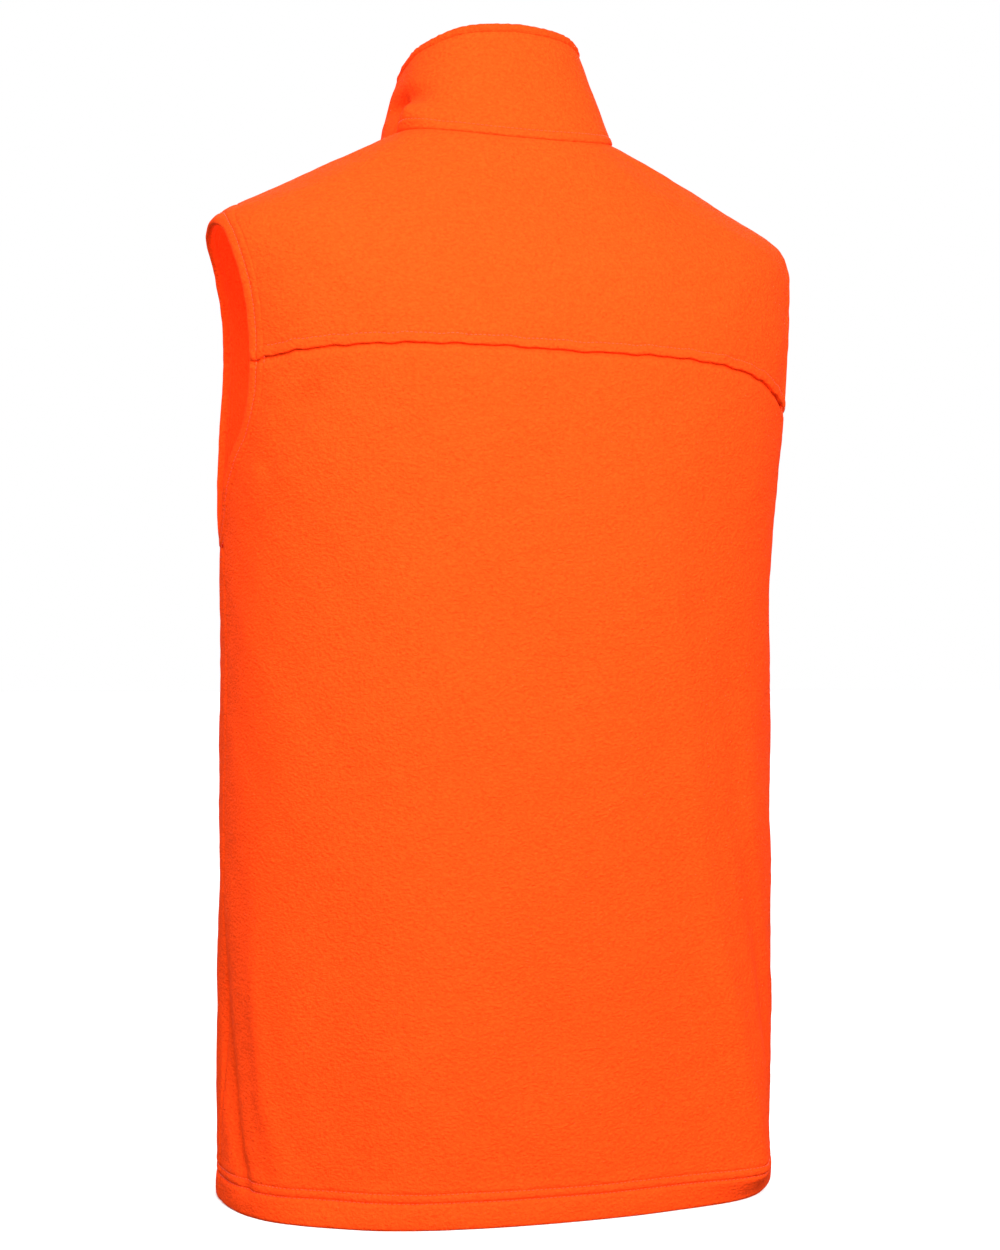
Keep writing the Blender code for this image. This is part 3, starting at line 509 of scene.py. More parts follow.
def rim_of(index):
    """The vertex numbers around a grid's edge, back to the first one."""
    return np.concatenate([index[0, :], index[1:, -1], index[-1, -2::-1], index[-2::-1, 0]])


def shell_quads(rows, columns, hole=None):
    """Faces of a closed shell: an outer grid, an inner grid, and walls around their edges."""
    count = rows * columns
    index = np.arange(count).reshape(rows, columns)
    keep = np.ones((rows - 1, columns - 1), bool)
    loops = [rim_of(index)]
    if hole is not None:
        low_row, high_row, low_column, high_column = hole
        keep[low_row:high_row, low_column:high_column] = False
        loops.append(rim_of(index[low_row:high_row + 1, low_column:high_column + 1]))
    outer = grid_quads(index)[keep.ravel()]
    inner = outer[:, ::-1] + count
    walls = [np.stack([loop[:-1], loop[1:], loop[1:] + count, loop[:-1] + count], axis=1)
             for loop in loops]
    return np.concatenate([outer, inner] + walls)


def shell(name, outer, inner, material, nodes=(), hole=None):
    rows, columns = outer.shape[:2]
    vertices = np.concatenate([outer.reshape(-1, 3), inner.reshape(-1, 3)])
    quads = shell_quads(rows, columns, hole)
    if hole is not None:
        vertices, quads = drop_unused(vertices, quads)
    return new_piece(name, vertices, quads, material, nodes)


def drop_unused(vertices, quads):
    used = np.unique(quads)
    renumber = np.zeros(len(vertices), int)
    renumber[used] = np.arange(len(used))
    return vertices[used], renumber[quads]


def tube(name, sections, material, nodes=(), ring_closed=False):
    """A closed solid swept through sections, an array (stations, points around, 3)."""
    stations, around = sections.shape[:2]
    index = np.arange(stations * around).reshape(stations, around)
    wrapped = np.concatenate([index, index[:, :1]], axis=1)
    if ring_closed:
        wrapped = np.concatenate([wrapped, wrapped[:1]], axis=0)
    faces = list(grid_quads(wrapped))
    if not ring_closed:
        faces += [index[0, ::-1], index[-1]]
    return new_piece(name, sections, faces, material, nodes)


def spaced(start, end, step):
    count = max(1, int(math.ceil(abs(end - start) / step)))
    return np.linspace(start, end, count + 1)


# ---------------------------------------------------------------------------------------------
# Materials


class Nodes:
    """Short calls to build a node tree. A value is a number, a colour or another node's output."""

    def __init__(self, name):
        self.material = bpy.data.materials.new(name)
        self.material.use_nodes = True
        self.tree = self.material.node_tree
        self.coordinates = self.tree.nodes.new("ShaderNodeTexCoord").outputs["Object"]

    def put(self, socket, value):
        if isinstance(value, bpy.types.NodeSocket):
            self.tree.links.new(value, socket)
        elif isinstance(value, tuple) and socket.type == "RGBA":
            socket.default_value = (*value, 1.0)
        else:
            socket.default_value = value

    def add(self, kind, output, **inputs):
        node = self.tree.nodes.new("ShaderNode" + kind)
        for name, value in inputs.items():
            self.put(node.inputs[name], value)
        return node.outputs[output]

    def scaled(self, x, y, z):
        return self.add("Mapping", "Vector", Vector=self.coordinates, Scale=(x, y, z))

    def noise(self, scale, detail=2.0, roughness=0.5, vector=None, distortion=0.0):
        vector = self.coordinates if vector is None else vector
        return self.add("TexNoise", "Fac", Vector=vector, Scale=scale, Detail=detail,
                        Roughness=roughness, Distortion=distortion)

    def cells(self, scale, vector):
        return self.add("TexVoronoi", "Distance", Vector=vector, Scale=scale)

    def wave(self, scale, direction, distortion):
        value = self.add("TexWave", "Fac", Vector=self.coordinates, Scale=scale,
                         Distortion=distortion)
        value.node.bands_direction = direction
        return value

    def ramp(self, value, low, high, at=(0.0, 1.0)):
        colour = self.add("ValToRGB", "Color", Fac=value)
        for element, place, shade in zip(colour.node.color_ramp.elements, at, (low, high)):
            element.position = place
            element.color = (*shade, 1.0)
        return colour

    def mix(self, share, first, second):
        node = self.tree.nodes.new("ShaderNodeMix")
        node.data_type = "RGBA"
        self.put(node.inputs["Factor"], share)
        self.put(node.inputs[6], first)
        self.put(node.inputs[7], second)
        return node.outputs[2]

    def maths(self, operation, first, second):
        node = self.tree.nodes.new("ShaderNodeMath")
        node.operation = operation
        self.put(node.inputs[0], first)
        self.put(node.inputs[1], second)
        return node.outputs[0]

    def bump(self, height, distance, strength, under=None):
        normal = self.add("Bump", "Normal", Height=height, Distance=distance, Strength=strength)
        if under is not None:
            self.put(normal.node.inputs["Normal"], under)
        return normal

    def finish(self, colour, roughness, normal=None, **constants):
        sockets = self.tree.nodes["Principled BSDF"].inputs
        self.put(sockets["Base Color"], colour)
        self.put(sockets["Roughness"], roughness)
        if normal is not None:
            self.put(sockets["Normal"], normal)
        for name, value in constants.items():
            sockets[name.replace("_", " ")].default_value = value
        return self.material


def times(colour, share):
    return tuple(channel * share for channel in colour)


def fleece_material(name, colour, tuft_shade, nap=1.0):
    """Brushed fleece: matted tufts a millimetre or two across, under fine fibres."""
    n = Nodes(name)
    flattened = n.scaled(1.0, 1.0, 1.3)
    cloudy = n.noise(11.0, 3.0, 0.55)
    tufts = n.noise(430.0, 4.0, 0.70, flattened, distortion=0.3)
    pills = n.cells(380.0, flattened)
    fibres = n.noise(1200.0, 2.0, 0.6)
    base = n.mix(n.ramp(cloudy, (0, 0, 0), (1, 1, 1), (0.35, 0.68)), times(colour, 0.96), colour)
    # Where the tufts lie low the colour darkens towards the second colour: painted shade in the
    # hollows between them.
    between = n.ramp(tufts, (1, 1, 1), (0, 0, 0), (0.30, 0.62))
    base = n.mix(n.maths("MULTIPLY", between, 0.9), base, tuft_shade)
    base = n.mix(n.maths("MULTIPLY", fibres, 0.25), base, times(colour, 1.05))
    height = n.maths("ADD", n.maths("MULTIPLY", tufts, 0.8), n.maths("MULTIPLY", pills, 0.3))
    soft = n.bump(height, 0.0018 * nap, 0.9)
    fine = n.bump(fibres, 0.0005 * nap, 0.7, soft)
    return n.finish(base, 0.95, fine, Sheen_Weight=0.0, Specular_IOR_Level=0.03)


def woven_material(name, colour, threads, roughness):
    """A close weave: two sets of threads at right angles, a little uneven."""
    n = Nodes(name)
    warp = n.wave(threads, "X", distortion=0.6)
    weft = n.wave(threads * 0.8, "Z", distortion=0.6)
    uneven = n.noise(500.0, 2.0)
    height = n.maths("MULTIPLY", warp, weft)
    shade = n.maths("ADD", n.maths("MULTIPLY", height, 0.6), n.maths("MULTIPLY", uneven, 0.4))
    # The weave's colour is darker where its threads lie low: painted shade, with some random
    # unevenness of tone.
    base = n.ramp(shade, times(colour, 0.72), times(colour, 1.06), (0.1, 0.75))
    return n.finish(base, roughness, n.bump(height, 0.00025, 0.7), Sheen_Weight=0.12,
                    Specular_IOR_Level=0.3)


def thread_material():
    n = Nodes("thread")
    twist = n.wave(900.0, "DIAGONAL", distortion=1.0)
    # The thread is darker in the grooves of its twist: painted shade.
    base = n.ramp(twist, times(THREAD, 0.75), THREAD)
    return n.finish(base, 0.6, n.bump(twist, 0.0001, 0.5), Sheen_Weight=0.1,
                    Specular_IOR_Level=0.35)


def plastic_material():
    n = Nodes("zip_plastic_look")
    grain = n.noise(1500.0, 2.0)
    worn = n.noise(60.0, 3.0)
    base = n.ramp(worn, times(PLASTIC, 0.8), times(PLASTIC, 1.5), (0.4, 0.7))
    rough = n.maths("ADD", n.maths("MULTIPLY", worn, 0.2), 0.28)
    return n.finish(base, rough, n.bump(grain, 0.00005, 0.5))


def metal_material():
    n = Nodes("zip_metal_look")
    worn = n.noise(220.0, 4.0, 0.6)
    brushed = n.noise(400.0, 2.0, vector=n.scaled(1.0, 1.0, 0.08))
    base = n.ramp(worn, times(METAL, 0.80), METAL, (0.35, 0.6))
    rough = n.maths("ADD", n.maths("MULTIPLY", brushed, 0.18), 0.22)
    return n.finish(base, rough, n.bump(brushed, 0.00004, 0.4), Metallic=1.0)


def floor_material():
    n = Nodes("floor_look")
    faint = n.noise(3.0, 2.0)
    base = n.ramp(faint, times(FLOOR, 0.99), FLOOR)
    return n.finish(base, 0.9, Specular_IOR_Level=0.1)


# ---------------------------------------------------------------------------------------------
# The armhole's edge and the stitches


def armhole_curve():
    """The edge as a closed smooth curve of (phi, level), from the side seam over the back."""
    spots = np.array([(angle * DEG, at) for angle, at in ARMHOLE])
    lengths = np.linalg.norm(np.diff(np.vstack([spots, spots[:1]]) * (SIDE_REACH, 1.0), axis=0),
                             axis=1)
    knots = np.concatenate([[0.0], np.cumsum(lengths)])
    total = knots[-1]
    wide_knots = np.concatenate([knots[:-1] - total, knots[:-1], knots[:-1] + total])
    wide_spots = np.vstack([spots, spots, spots])
    where = np.linspace(0.0, total, 1200, endpoint=False)
    return np.stack([hermite(wide_knots, wide_spots[:, i], where) for i in (0, 1)], axis=1)


def armhole_ways(curve, sign):
    """How phi and level change per metre into the cloth, square to the armhole's edge."""
    phi, level = curve[:, 0] * sign, curve[:, 1]
    step = 1e-4
    by_phi = (body(phi + step, level) - body(phi - step, level)) / (2 * step)
    by_level = (body(phi, level + step) - body(phi, level - step)) / (2 * step)
    edge = body(phi, level)
    tangent = np.roll(edge, -1, axis=0) - np.roll(edge, 1, axis=0)
    tangent /= np.linalg.norm(tangent, axis=1, keepdims=True)
    into = np.cross(normals(body, phi, level), tangent) * sign
    a11 = (by_phi * by_phi).sum(1)
    a12 = (by_phi * by_level).sum(1)
    a22 = (by_level * by_level).sum(1)
    b1, b2 = (by_phi * into).sum(1), (by_level * into).sum(1)
    determinant = a11 * a22 - a12 ** 2
    phi_way = (b1 * a22 - b2 * a12) / determinant
    level_way = (b2 * a11 - b1 * a12) / determinant
    # The way into the cloth leads down from the curve's lowest point.
    if level_way[np.argmin(level)] > 0:
        phi_way, level_way = -phi_way, -level_way
    return np.stack([phi_way * sign, level_way], axis=1)


class Armhole:
    """One armhole's edge, and the line where its turned band meets the panels."""

    def __init__(self, sign):
        self.sign = sign
        self.curve = armhole_curve()
        self.ways = armhole_ways(self.curve, sign)
        band = self.curve + self.ways * ARMHOLE_BAND
        top = int(np.argmax(band[:, 1]))
        bottom = int(np.argmin(band[:, 1]))
        back = np.roll(band, -bottom, axis=0)[:(top - bottom) % len(band) + 1]
        front = np.roll(band, -top, axis=0)[:(bottom - top) % len(band) + 1][::-1]
        self.halves = {side: half[np.argsort(half[:, 1])]
                       for side, half in (("back", back), ("front", front))}
        self.lowest = float(band[bottom, 1])
        self.highest = float(band[top, 1])

    def edge_phi(self, level, side):
        """The angle where the panels end beside the band, at a level."""
        half = self.halves[side]
        inside = (level > self.lowest) & (level < self.highest)
        return np.where(inside, np.interp(level, half[:, 1], half[:, 0]), math.pi / 2)

    def yoke_crossing(self):
        """The level at which the yoke seam meets the band's line."""
        levels = np.linspace(0.50, 0.62, 2000)
        gap = levels - yoke_level(self.edge_phi(levels, "back") * self.sign)
        return float(np.interp(0.0, gap, levels))

    def row_levels(self, side, low, high, step):
        """Levels at even steps along the band's line, between two levels."""
        half = self.halves[side]
        line = half[(half[:, 1] >= low) & (half[:, 1] <= high)]
        lengths = np.concatenate([[0.0], np.cumsum(np.hypot(np.diff(line[:, 0]) * SIDE_REACH,
                                                            np.diff(line[:, 1])))])
        count = max(2, int(round(lengths[-1] / step)))
        where = np.linspace(0.0, lengths[-1], count + 1)
        levels = np.interp(where, lengths, line[:, 1])
        levels[0], levels[-1] = low, high
        return levels


def stitches(name, line, outwards, material):
    """A row of stitches along a line of points, each a short bent bead of thread."""
    steps = np.linalg.norm(np.diff(line, axis=0), axis=1)
    run = np.concatenate([[0.0], np.cumsum(steps)])
    starts = np.arange(STITCH_PITCH / 2, run[-1] - STITCH_PITCH, STITCH_PITCH)
    shares = np.array([0.0, 0.12, 0.5, 0.88, 1.0])
    sizes = np.array([0.25, 0.9, 1.0, 0.9, 0.25])
    sinks = np.array([-0.00035, 0.0, 0.0001, 0.0, -0.00035])
    sides = 6
    angles = np.linspace(0, 2 * math.pi, sides, endpoint=False)
    vertices, faces = [], []
    for start in starts:
        where = start + shares * STITCH_LENGTH
        centre = np.stack([np.interp(where, run, line[:, i]) for i in range(3)], axis=1)
        out = np.stack([np.interp(where, run, outwards[:, i]) for i in range(3)], axis=1)
        ahead = centre[-1] - centre[0]
        ahead /= np.linalg.norm(ahead)
        beside = np.cross(out, ahead)
        beside /= np.linalg.norm(beside, axis=1, keepdims=True)
        first = len(vertices) * len(shares) * sides
        middle = (centre + out * sinks[:, None])[:, None, :]
        rings = middle + THREAD_RADIUS * sizes[:, None, None] * (
            np.cos(angles)[None, :, None] * beside[:, None, :]
            + np.sin(angles)[None, :, None] * out[:, None, :])
        vertices.append(rings.reshape(-1, 3))
        for i in range(len(shares) - 1):
            for j in range(sides):
                k = (j + 1) % sides
                a, b = first + i * sides, first + (i + 1) * sides
                faces.append([a + j, b + j, b + k, a + k])
        last = first + (len(shares) - 1) * sides
        faces.append([first + j for j in range(sides)])
        faces.append([last + j for j in reversed(range(sides))])
    new_piece(name, np.concatenate(vertices), faces, material)


def seam_line(form, phi, level, offset):
    """A line on a form, with the ways outwards along it."""
    return lay(form, phi, level, np.full(np.shape(phi), offset)), normals(form, phi, level)


# ---------------------------------------------------------------------------------------------
# Panels


def hem_rows(turned_mid):
    """The hem's rows, from the raw turned edge down and around the fold, then up the outside.

    Gives arrays (rows, columns) of level, offset and the two parts of the outward side.
    """
    radius = (OUTER_MID - turned_mid) / 2
    middle = (OUTER_MID + turned_mid) / 2
    centre_level = CLOTH / 2 + radius
    dense = np.concatenate([np.arange(0.0, 1.0, 0.0556), [1.0]])
    levels, offsets = [], []
    for share in dense[:-1]:
        levels.append(HEM_DEPTH + (centre_level - HEM_DEPTH) * share)
        offsets.append(turned_mid)
    for angle in np.linspace(0, math.pi, 9)[:-1]:
        levels.append(centre_level - radius * np.sin(angle))
        offsets.append(middle - radius * np.cos(angle))
    for share in np.linspace(0, 1, 44):
        levels.append(centre_level + (HEM_DENSE - centre_level) * share)
        offsets.append(np.full_like(turned_mid, OUTER_MID))
    levels, offsets = np.array(levels), np.array(offsets)
    d_level, d_offset = np.gradient(levels, axis=0), np.gradient(offsets, axis=0)
    length = np.hypot(d_level, d_offset)
    return levels, offsets, -d_offset / length, d_level / length


def hem_relief(level):
    """The hem puffs between its edge and its first stitch line."""
    first, second = HEM_STITCHES
    puff = HEM_PUFF * np.sqrt(np.clip(np.sin(math.pi * np.clip(level / first, 0, 1)), 0, 1))
    between = 0.0004 * np.clip(np.sin(math.pi * (level - first) / (second - first)), 0, 1)
    between = np.where((level > first) & (level < second), between, 0.0)
    above = 0.0003 * np.exp(-((level - second - 0.003) / 0.003) ** 2)
    return (puff + between + above + groove(level - first, *HEM_GROOVES[0])
            + groove(level - second, *HEM_GROOVES[1]))


def carry_up(hem, rows):
    """The hem's offset and outward side, carried on up plain cloth for more rows."""
    return [np.vstack([part, np.full((rows, part.shape[1]), value)])
            for part, value in zip(hem[1:], (OUTER_MID, 0.0, 1.0))]


def panel_shell(name, phi, level, offset, sides, relief, material, node, edge_share, hole=None):
    """A panel from arrays: the middle layer, its outward side, and the outer face's relief."""
    side_level, side_offset = sides
    half = CLOTH / 2 * edge_share
    out = half + relief * edge_share
    outer = lay(body, phi, level + side_level * out, offset + side_offset * out)
    inner = lay(body, phi, level - side_level * half, offset - side_offset * half)
    shell(name, outer, inner, material, (node,), hole)


def back_columns():
    """Shares of the way from the back's right seam to its left one, close together beside both."""
    count = int(round((BACK_HALF_WIDTH - SEAM_STEPS[-1]) / STEP))
    plain = np.linspace(SEAM_STEPS[-1], BACK_HALF_WIDTH, count + 1)[1:]
    shares = np.concatenate([SEAM_STEPS, plain]) / BACK_HALF_WIDTH
    return (np.concatenate([shares - 1.0, (1.0 - shares)[-2::-1]]) + 1) / 2


def across_back(holes, rows, share):
    """Angles and levels of the back's rows, each blended from its right end to its left one."""
    side = math.pi / 2 + SEAM_LAP / SIDE_REACH
    edge = {sign: np.minimum(hole.edge_phi(rows[sign], "back"), side)
            for sign, hole in holes.items()}
    phi = -edge[-1][:, None] * (1 - share) + edge[1][:, None] * share
    return phi, rows[-1][:, None] * (1 - share) + rows[1][:, None] * share


def build_back_panel(holes, materials):
    """The back below the yoke: its turned hem, its sides, and its top edge under the yoke."""
    share = back_columns()
    hem = hem_rows(np.full(len(share), TURNED_MID))
    lowest = holes[1].lowest
    crossing = {sign: hole.yoke_crossing() for sign, hole in holes.items()}
    plain = spaced(HEM_DENSE, lowest, STEP)[1:]
    count = int(round((crossing[1] - lowest) / 0.0022))
    rows = {sign: np.concatenate([plain, np.linspace(hole.lowest, crossing[sign], count + 1)[1:]])
            for sign, hole in holes.items()}

    phi, base = across_back(holes, rows, share)
    bend = smooth((base - 0.30) / (base[-1] - 0.30)) ** 1.5
    level = base + bend * (yoke_level(phi[-1]) - base[-1])
    # The last rows go on under the yoke, and the first are the hem's.
    side = math.pi / 2 + SEAM_LAP / SIDE_REACH
    hem_phi = np.broadcast_to(-side * (1 - share) + side * share, hem[0].shape)
    phi = np.vstack([hem_phi, phi] + [phi[-1:]] * len(YOKE_TUCK_STEPS))
    level = np.vstack([hem[0], level] + [level[-1:] + step for step in YOKE_TUCK_STEPS])
    offset, *sides = carry_up(hem, len(level) - len(hem[0]))

    below_yoke = (yoke_level(phi) - level) * BACK_RISE
    offset = offset - 0.0023 * smooth((0.0048 - below_yoke) / 0.0048) * (level > 0.4)
    side_gap = (math.pi / 2 - np.abs(phi)) * SIDE_REACH
    offset = offset + groove(side_gap, *SEAM_DENT) * (level < lowest)
    edge = edge_distance(phi, level, holes)
    relief = hem_relief(level) + groove(edge - ARMHOLE_BAND, *BAND_GROOVE)
    ends = np.ones_like(phi)
    ends[-1] = 0.6
    panel_shell("back_panel_cloth", phi, level, offset, sides, relief, materials["fleece"],
                "back_panel", ends)


def edge_distance(phi, level, holes):
    """Distance from the nearer armhole's edge, roughly along the cloth, beyond its band's line."""
    value = np.full(np.shape(phi), 1.0)
    for sign, hole in holes.items():
        curve = hole.curve[::4]
        scaled = np.stack([curve[:, 0] * SIDE_REACH, curve[:, 1]], axis=1)
        near = (phi * sign > 0.9) & (level > 0.42) & (level < 0.72)
        spots = np.stack([phi[near] * sign * SIDE_REACH, level[near]], axis=1)
        best = np.full(len(spots), np.inf)
        for start in range(0, len(scaled), 50):
            chunk = scaled[start:start + 50]
            gap = np.hypot(*(spots[:, None, i] - chunk[None, :, i] for i in (0, 1)))
            best = np.minimum(best, gap.min(axis=1))
        value[near] = np.minimum(value[near], best)
    return value


def build_back_yoke(holes, materials):
    """The yoke, from its welted edge over the back panel to the shoulder and neck seams."""
    welt_steps = YOKE_STEPS / BACK_RISE
    rows = {}
    for sign, hole in holes.items():
        crossing = hole.yoke_crossing()
        line = hole.row_levels("back", crossing + welt_steps[-1], hole.highest - 1e-5, STEP * 0.6)
        upper = np.interp(np.linspace(0, len(line) - 1, 64), np.arange(len(line)), line)
        neck = spaced(hole.highest, NECK_LEVEL, STEP)[1:]
        rows[sign] = np.concatenate([crossing + welt_steps, upper[1:], neck])
    highest = holes[1].highest
    phi, base = across_back(holes, rows, back_columns())
    bottom = base[0] - welt_steps[0]
    rest = 1 - smooth((base - base[0]) / (highest - base[0]))
    level = base + rest * (yoke_level(phi[0]) - bottom)

    above = (level - yoke_level(phi)) * BACK_RISE
    to_neck = (NECK_LEVEL - level) * 0.7
    offset = OUTER_MID - 0.0009 * smooth((0.005 - to_neck) / 0.005)
    shoulder_gap = (math.pi / 2 - np.abs(phi)) * SHOULDER_REACH
    offset = offset + groove(shoulder_gap, *SEAM_DENT) * (level > highest)
    edge = edge_distance(phi, level, holes)
    relief = welt(above, YOKE_WELT, 0.0006) + groove(above - YOKE_WELT - 0.0004, *YOKE_GROOVE)
    relief = relief + groove(edge - ARMHOLE_BAND, *BAND_GROOVE)
    panel_shell("back_yoke_cloth", phi, level, offset, (0.0, 1.0), relief, materials["fleece"],
                "back_yoke", bullnose(above))


def slot_shift(z):
    """How far the pocket zip's line is from its middle, towards the side."""
    line = pocket_zip_line(1)
    reach = POCKET_ZIP_LENGTH / 2 + 0.012
    places = line.points(0.0, FABRIC, np.linspace(-reach, reach, 19))
    fade = smooth((0.19 - np.abs(z - POCKET_CENTRE_Z)) / 0.09)
    return (np.interp(z, places[:, 2], places[:, 0]) - POCKET_CENTRE_X) * fade


def build_front_panel(name, sign, hole, materials):
    """A front, from its side and shoulder seams to its turned edge beside the zip."""
    # Columns, by their distance from the seam, the slot's two edges and the zip's edge.
    near_seam, near_slot = SEAM_STEPS / SLOT_TO_SEAM, SLOT_STEPS / SLOT_TO_SEAM
    outer_part = np.concatenate([near_seam, np.linspace(near_seam[-1], 0.86, 22)[1:],
                                 1 - near_slot[::-1]])
    near_slot, near_zip = SLOT_STEPS / SLOT_TO_ZIP, ZIP_STEPS / SLOT_TO_ZIP
    inner_part = np.concatenate([near_slot,
                                 np.linspace(near_slot[-1], 1 - near_zip[-1], 21)[1:-1],
                                 1 - near_zip[::-1]])
    slot_columns = (len(outer_part) - 1, len(outer_part))

    # Rows. The hem's turned layer moves in beside the zip's tape.
    to_zip = np.concatenate([np.full(len(outer_part), 1.0), 1 - inner_part]) * SLOT_TO_ZIP
    hem = hem_rows(TURNED_MID - 0.0018 * smooth((0.017 - to_zip) / 0.005))
    half_slot = POCKET_ZIP_LENGTH / 2 * math.cos(POCKET_SLANT) - POCKET_SLOT_END
    slot_low, slot_high = POCKET_CENTRE_Z - half_slot, POCKET_CENTRE_Z + half_slot
    below = spaced(HEM_DENSE, slot_low + SLOT_END_STEPS[0], STEP)[1:-1]
    within = spaced(slot_low, slot_high, STEP)[1:-1]
    above = spaced(slot_high - SLOT_END_STEPS[0], hole.lowest, STEP)[1:]
    shoulder = hole.row_levels("front", hole.lowest, hole.highest - 1e-5, STEP * 0.7)[1:]
    neck = spaced(hole.highest, NECK_LEVEL, STEP)[1:]
    rows = np.concatenate([below, slot_low + SLOT_END_STEPS, within,
                           (slot_high - SLOT_END_STEPS)[::-1], above, shoulder, neck])
    first_slot_row = len(hem[0]) + len(below) + len(SLOT_END_STEPS) - 1
    last_slot_row = first_slot_row + len(within) + 1
    level = np.vstack([hem[0], np.repeat(rows[:, None], len(to_zip), axis=1)])
    offset, *sides = carry_up(hem, len(rows))

    flat_level = level[:, 0]
    side = math.pi / 2 - SEAM_LAP / SIDE_REACH
    seam = np.maximum(hole.edge_phi(flat_level, "front"), side)[:, None]
    zip_edge = front_phi(FRONT_EDGE, flat_level)[:, None]
    slot_x = POCKET_CENTRE_X + slot_shift(flat_level)
    # Above the chest the slot's columns move in with the narrowing front.
    slot_x = slot_x + (0.075 - POCKET_CENTRE_X) * smooth((flat_level - 0.36) / 0.30)
    half_gap = POCKET_SLOT_SIDE / math.cos(SLOT_SLANT)
    slot_outer = front_phi(slot_x + half_gap, flat_level)[:, None]
    slot_inner = front_phi(slot_x - half_gap, flat_level)[:, None]
    slot_outer = np.maximum(slot_outer, seam + (zip_edge - seam) * 0.30)
    slot_inner = np.maximum(slot_inner, slot_outer + 0.02)
    phi = np.hstack([seam + (slot_outer - seam) * outer_part,
                     slot_inner + (zip_edge - slot_inner) * inner_part])

    place = body(phi, level)
    to_zip_edge = place[..., 0] - FRONT_EDGE
    turn_x, turn_z = math.cos(SLOT_SLANT), math.sin(SLOT_SLANT)
    from_x = place[..., 0] - POCKET_CENTRE_X
    from_z = place[..., 2] - POCKET_CENTRE_Z
    across = (from_x - slot_shift(place[..., 2])) * turn_x
    along = -from_x * turn_z + from_z * turn_x
    slot_reach = POCKET_ZIP_LENGTH / 2 - POCKET_SLOT_END
    out_across = np.maximum(np.abs(across) - POCKET_SLOT_SIDE, 0.0)
    out_along = np.maximum(np.abs(along) - slot_reach, 0.0)
    from_slot = np.hypot(out_across, out_along)
    square_slot = np.maximum(np.abs(across) - POCKET_SLOT_SIDE, np.abs(along) - slot_reach)

    side_gap = (phi - math.pi / 2) * BODY_REACH
    offset = offset + groove(side_gap, *SEAM_DENT)
    to_neck = (NECK_LEVEL - level) * 0.55
    offset = offset - 0.0014 * smooth((0.005 - to_neck) / 0.005)
    edge = edge_distance(phi, level, {1: hole})
    relief = hem_relief(level) + groove(edge - ARMHOLE_BAND, *BAND_GROOVE)
    relief = relief + welt(to_zip_edge, ZIP_WELT, 0.0005)
    relief = relief + groove(to_zip_edge - ZIP_STITCH, *ZIP_GROOVE)
    slot_welt = welt(np.maximum(square_slot, 0), SLOT_WELT, 0.0005)
    relief = relief + np.where(square_slot < SLOT_WELT, slot_welt, 0.0)
    relief = relief + groove(square_slot - SLOT_STITCH, *ZIP_GROOVE)
    ends = bullnose(to_zip_edge) * bullnose(from_slot)
    panel_shell(name + "_front_cloth", phi * sign, level, offset, sides, relief,
                materials["fleece"], name + "_front_panel", ends,
                (first_slot_row, last_slot_row, *slot_columns))


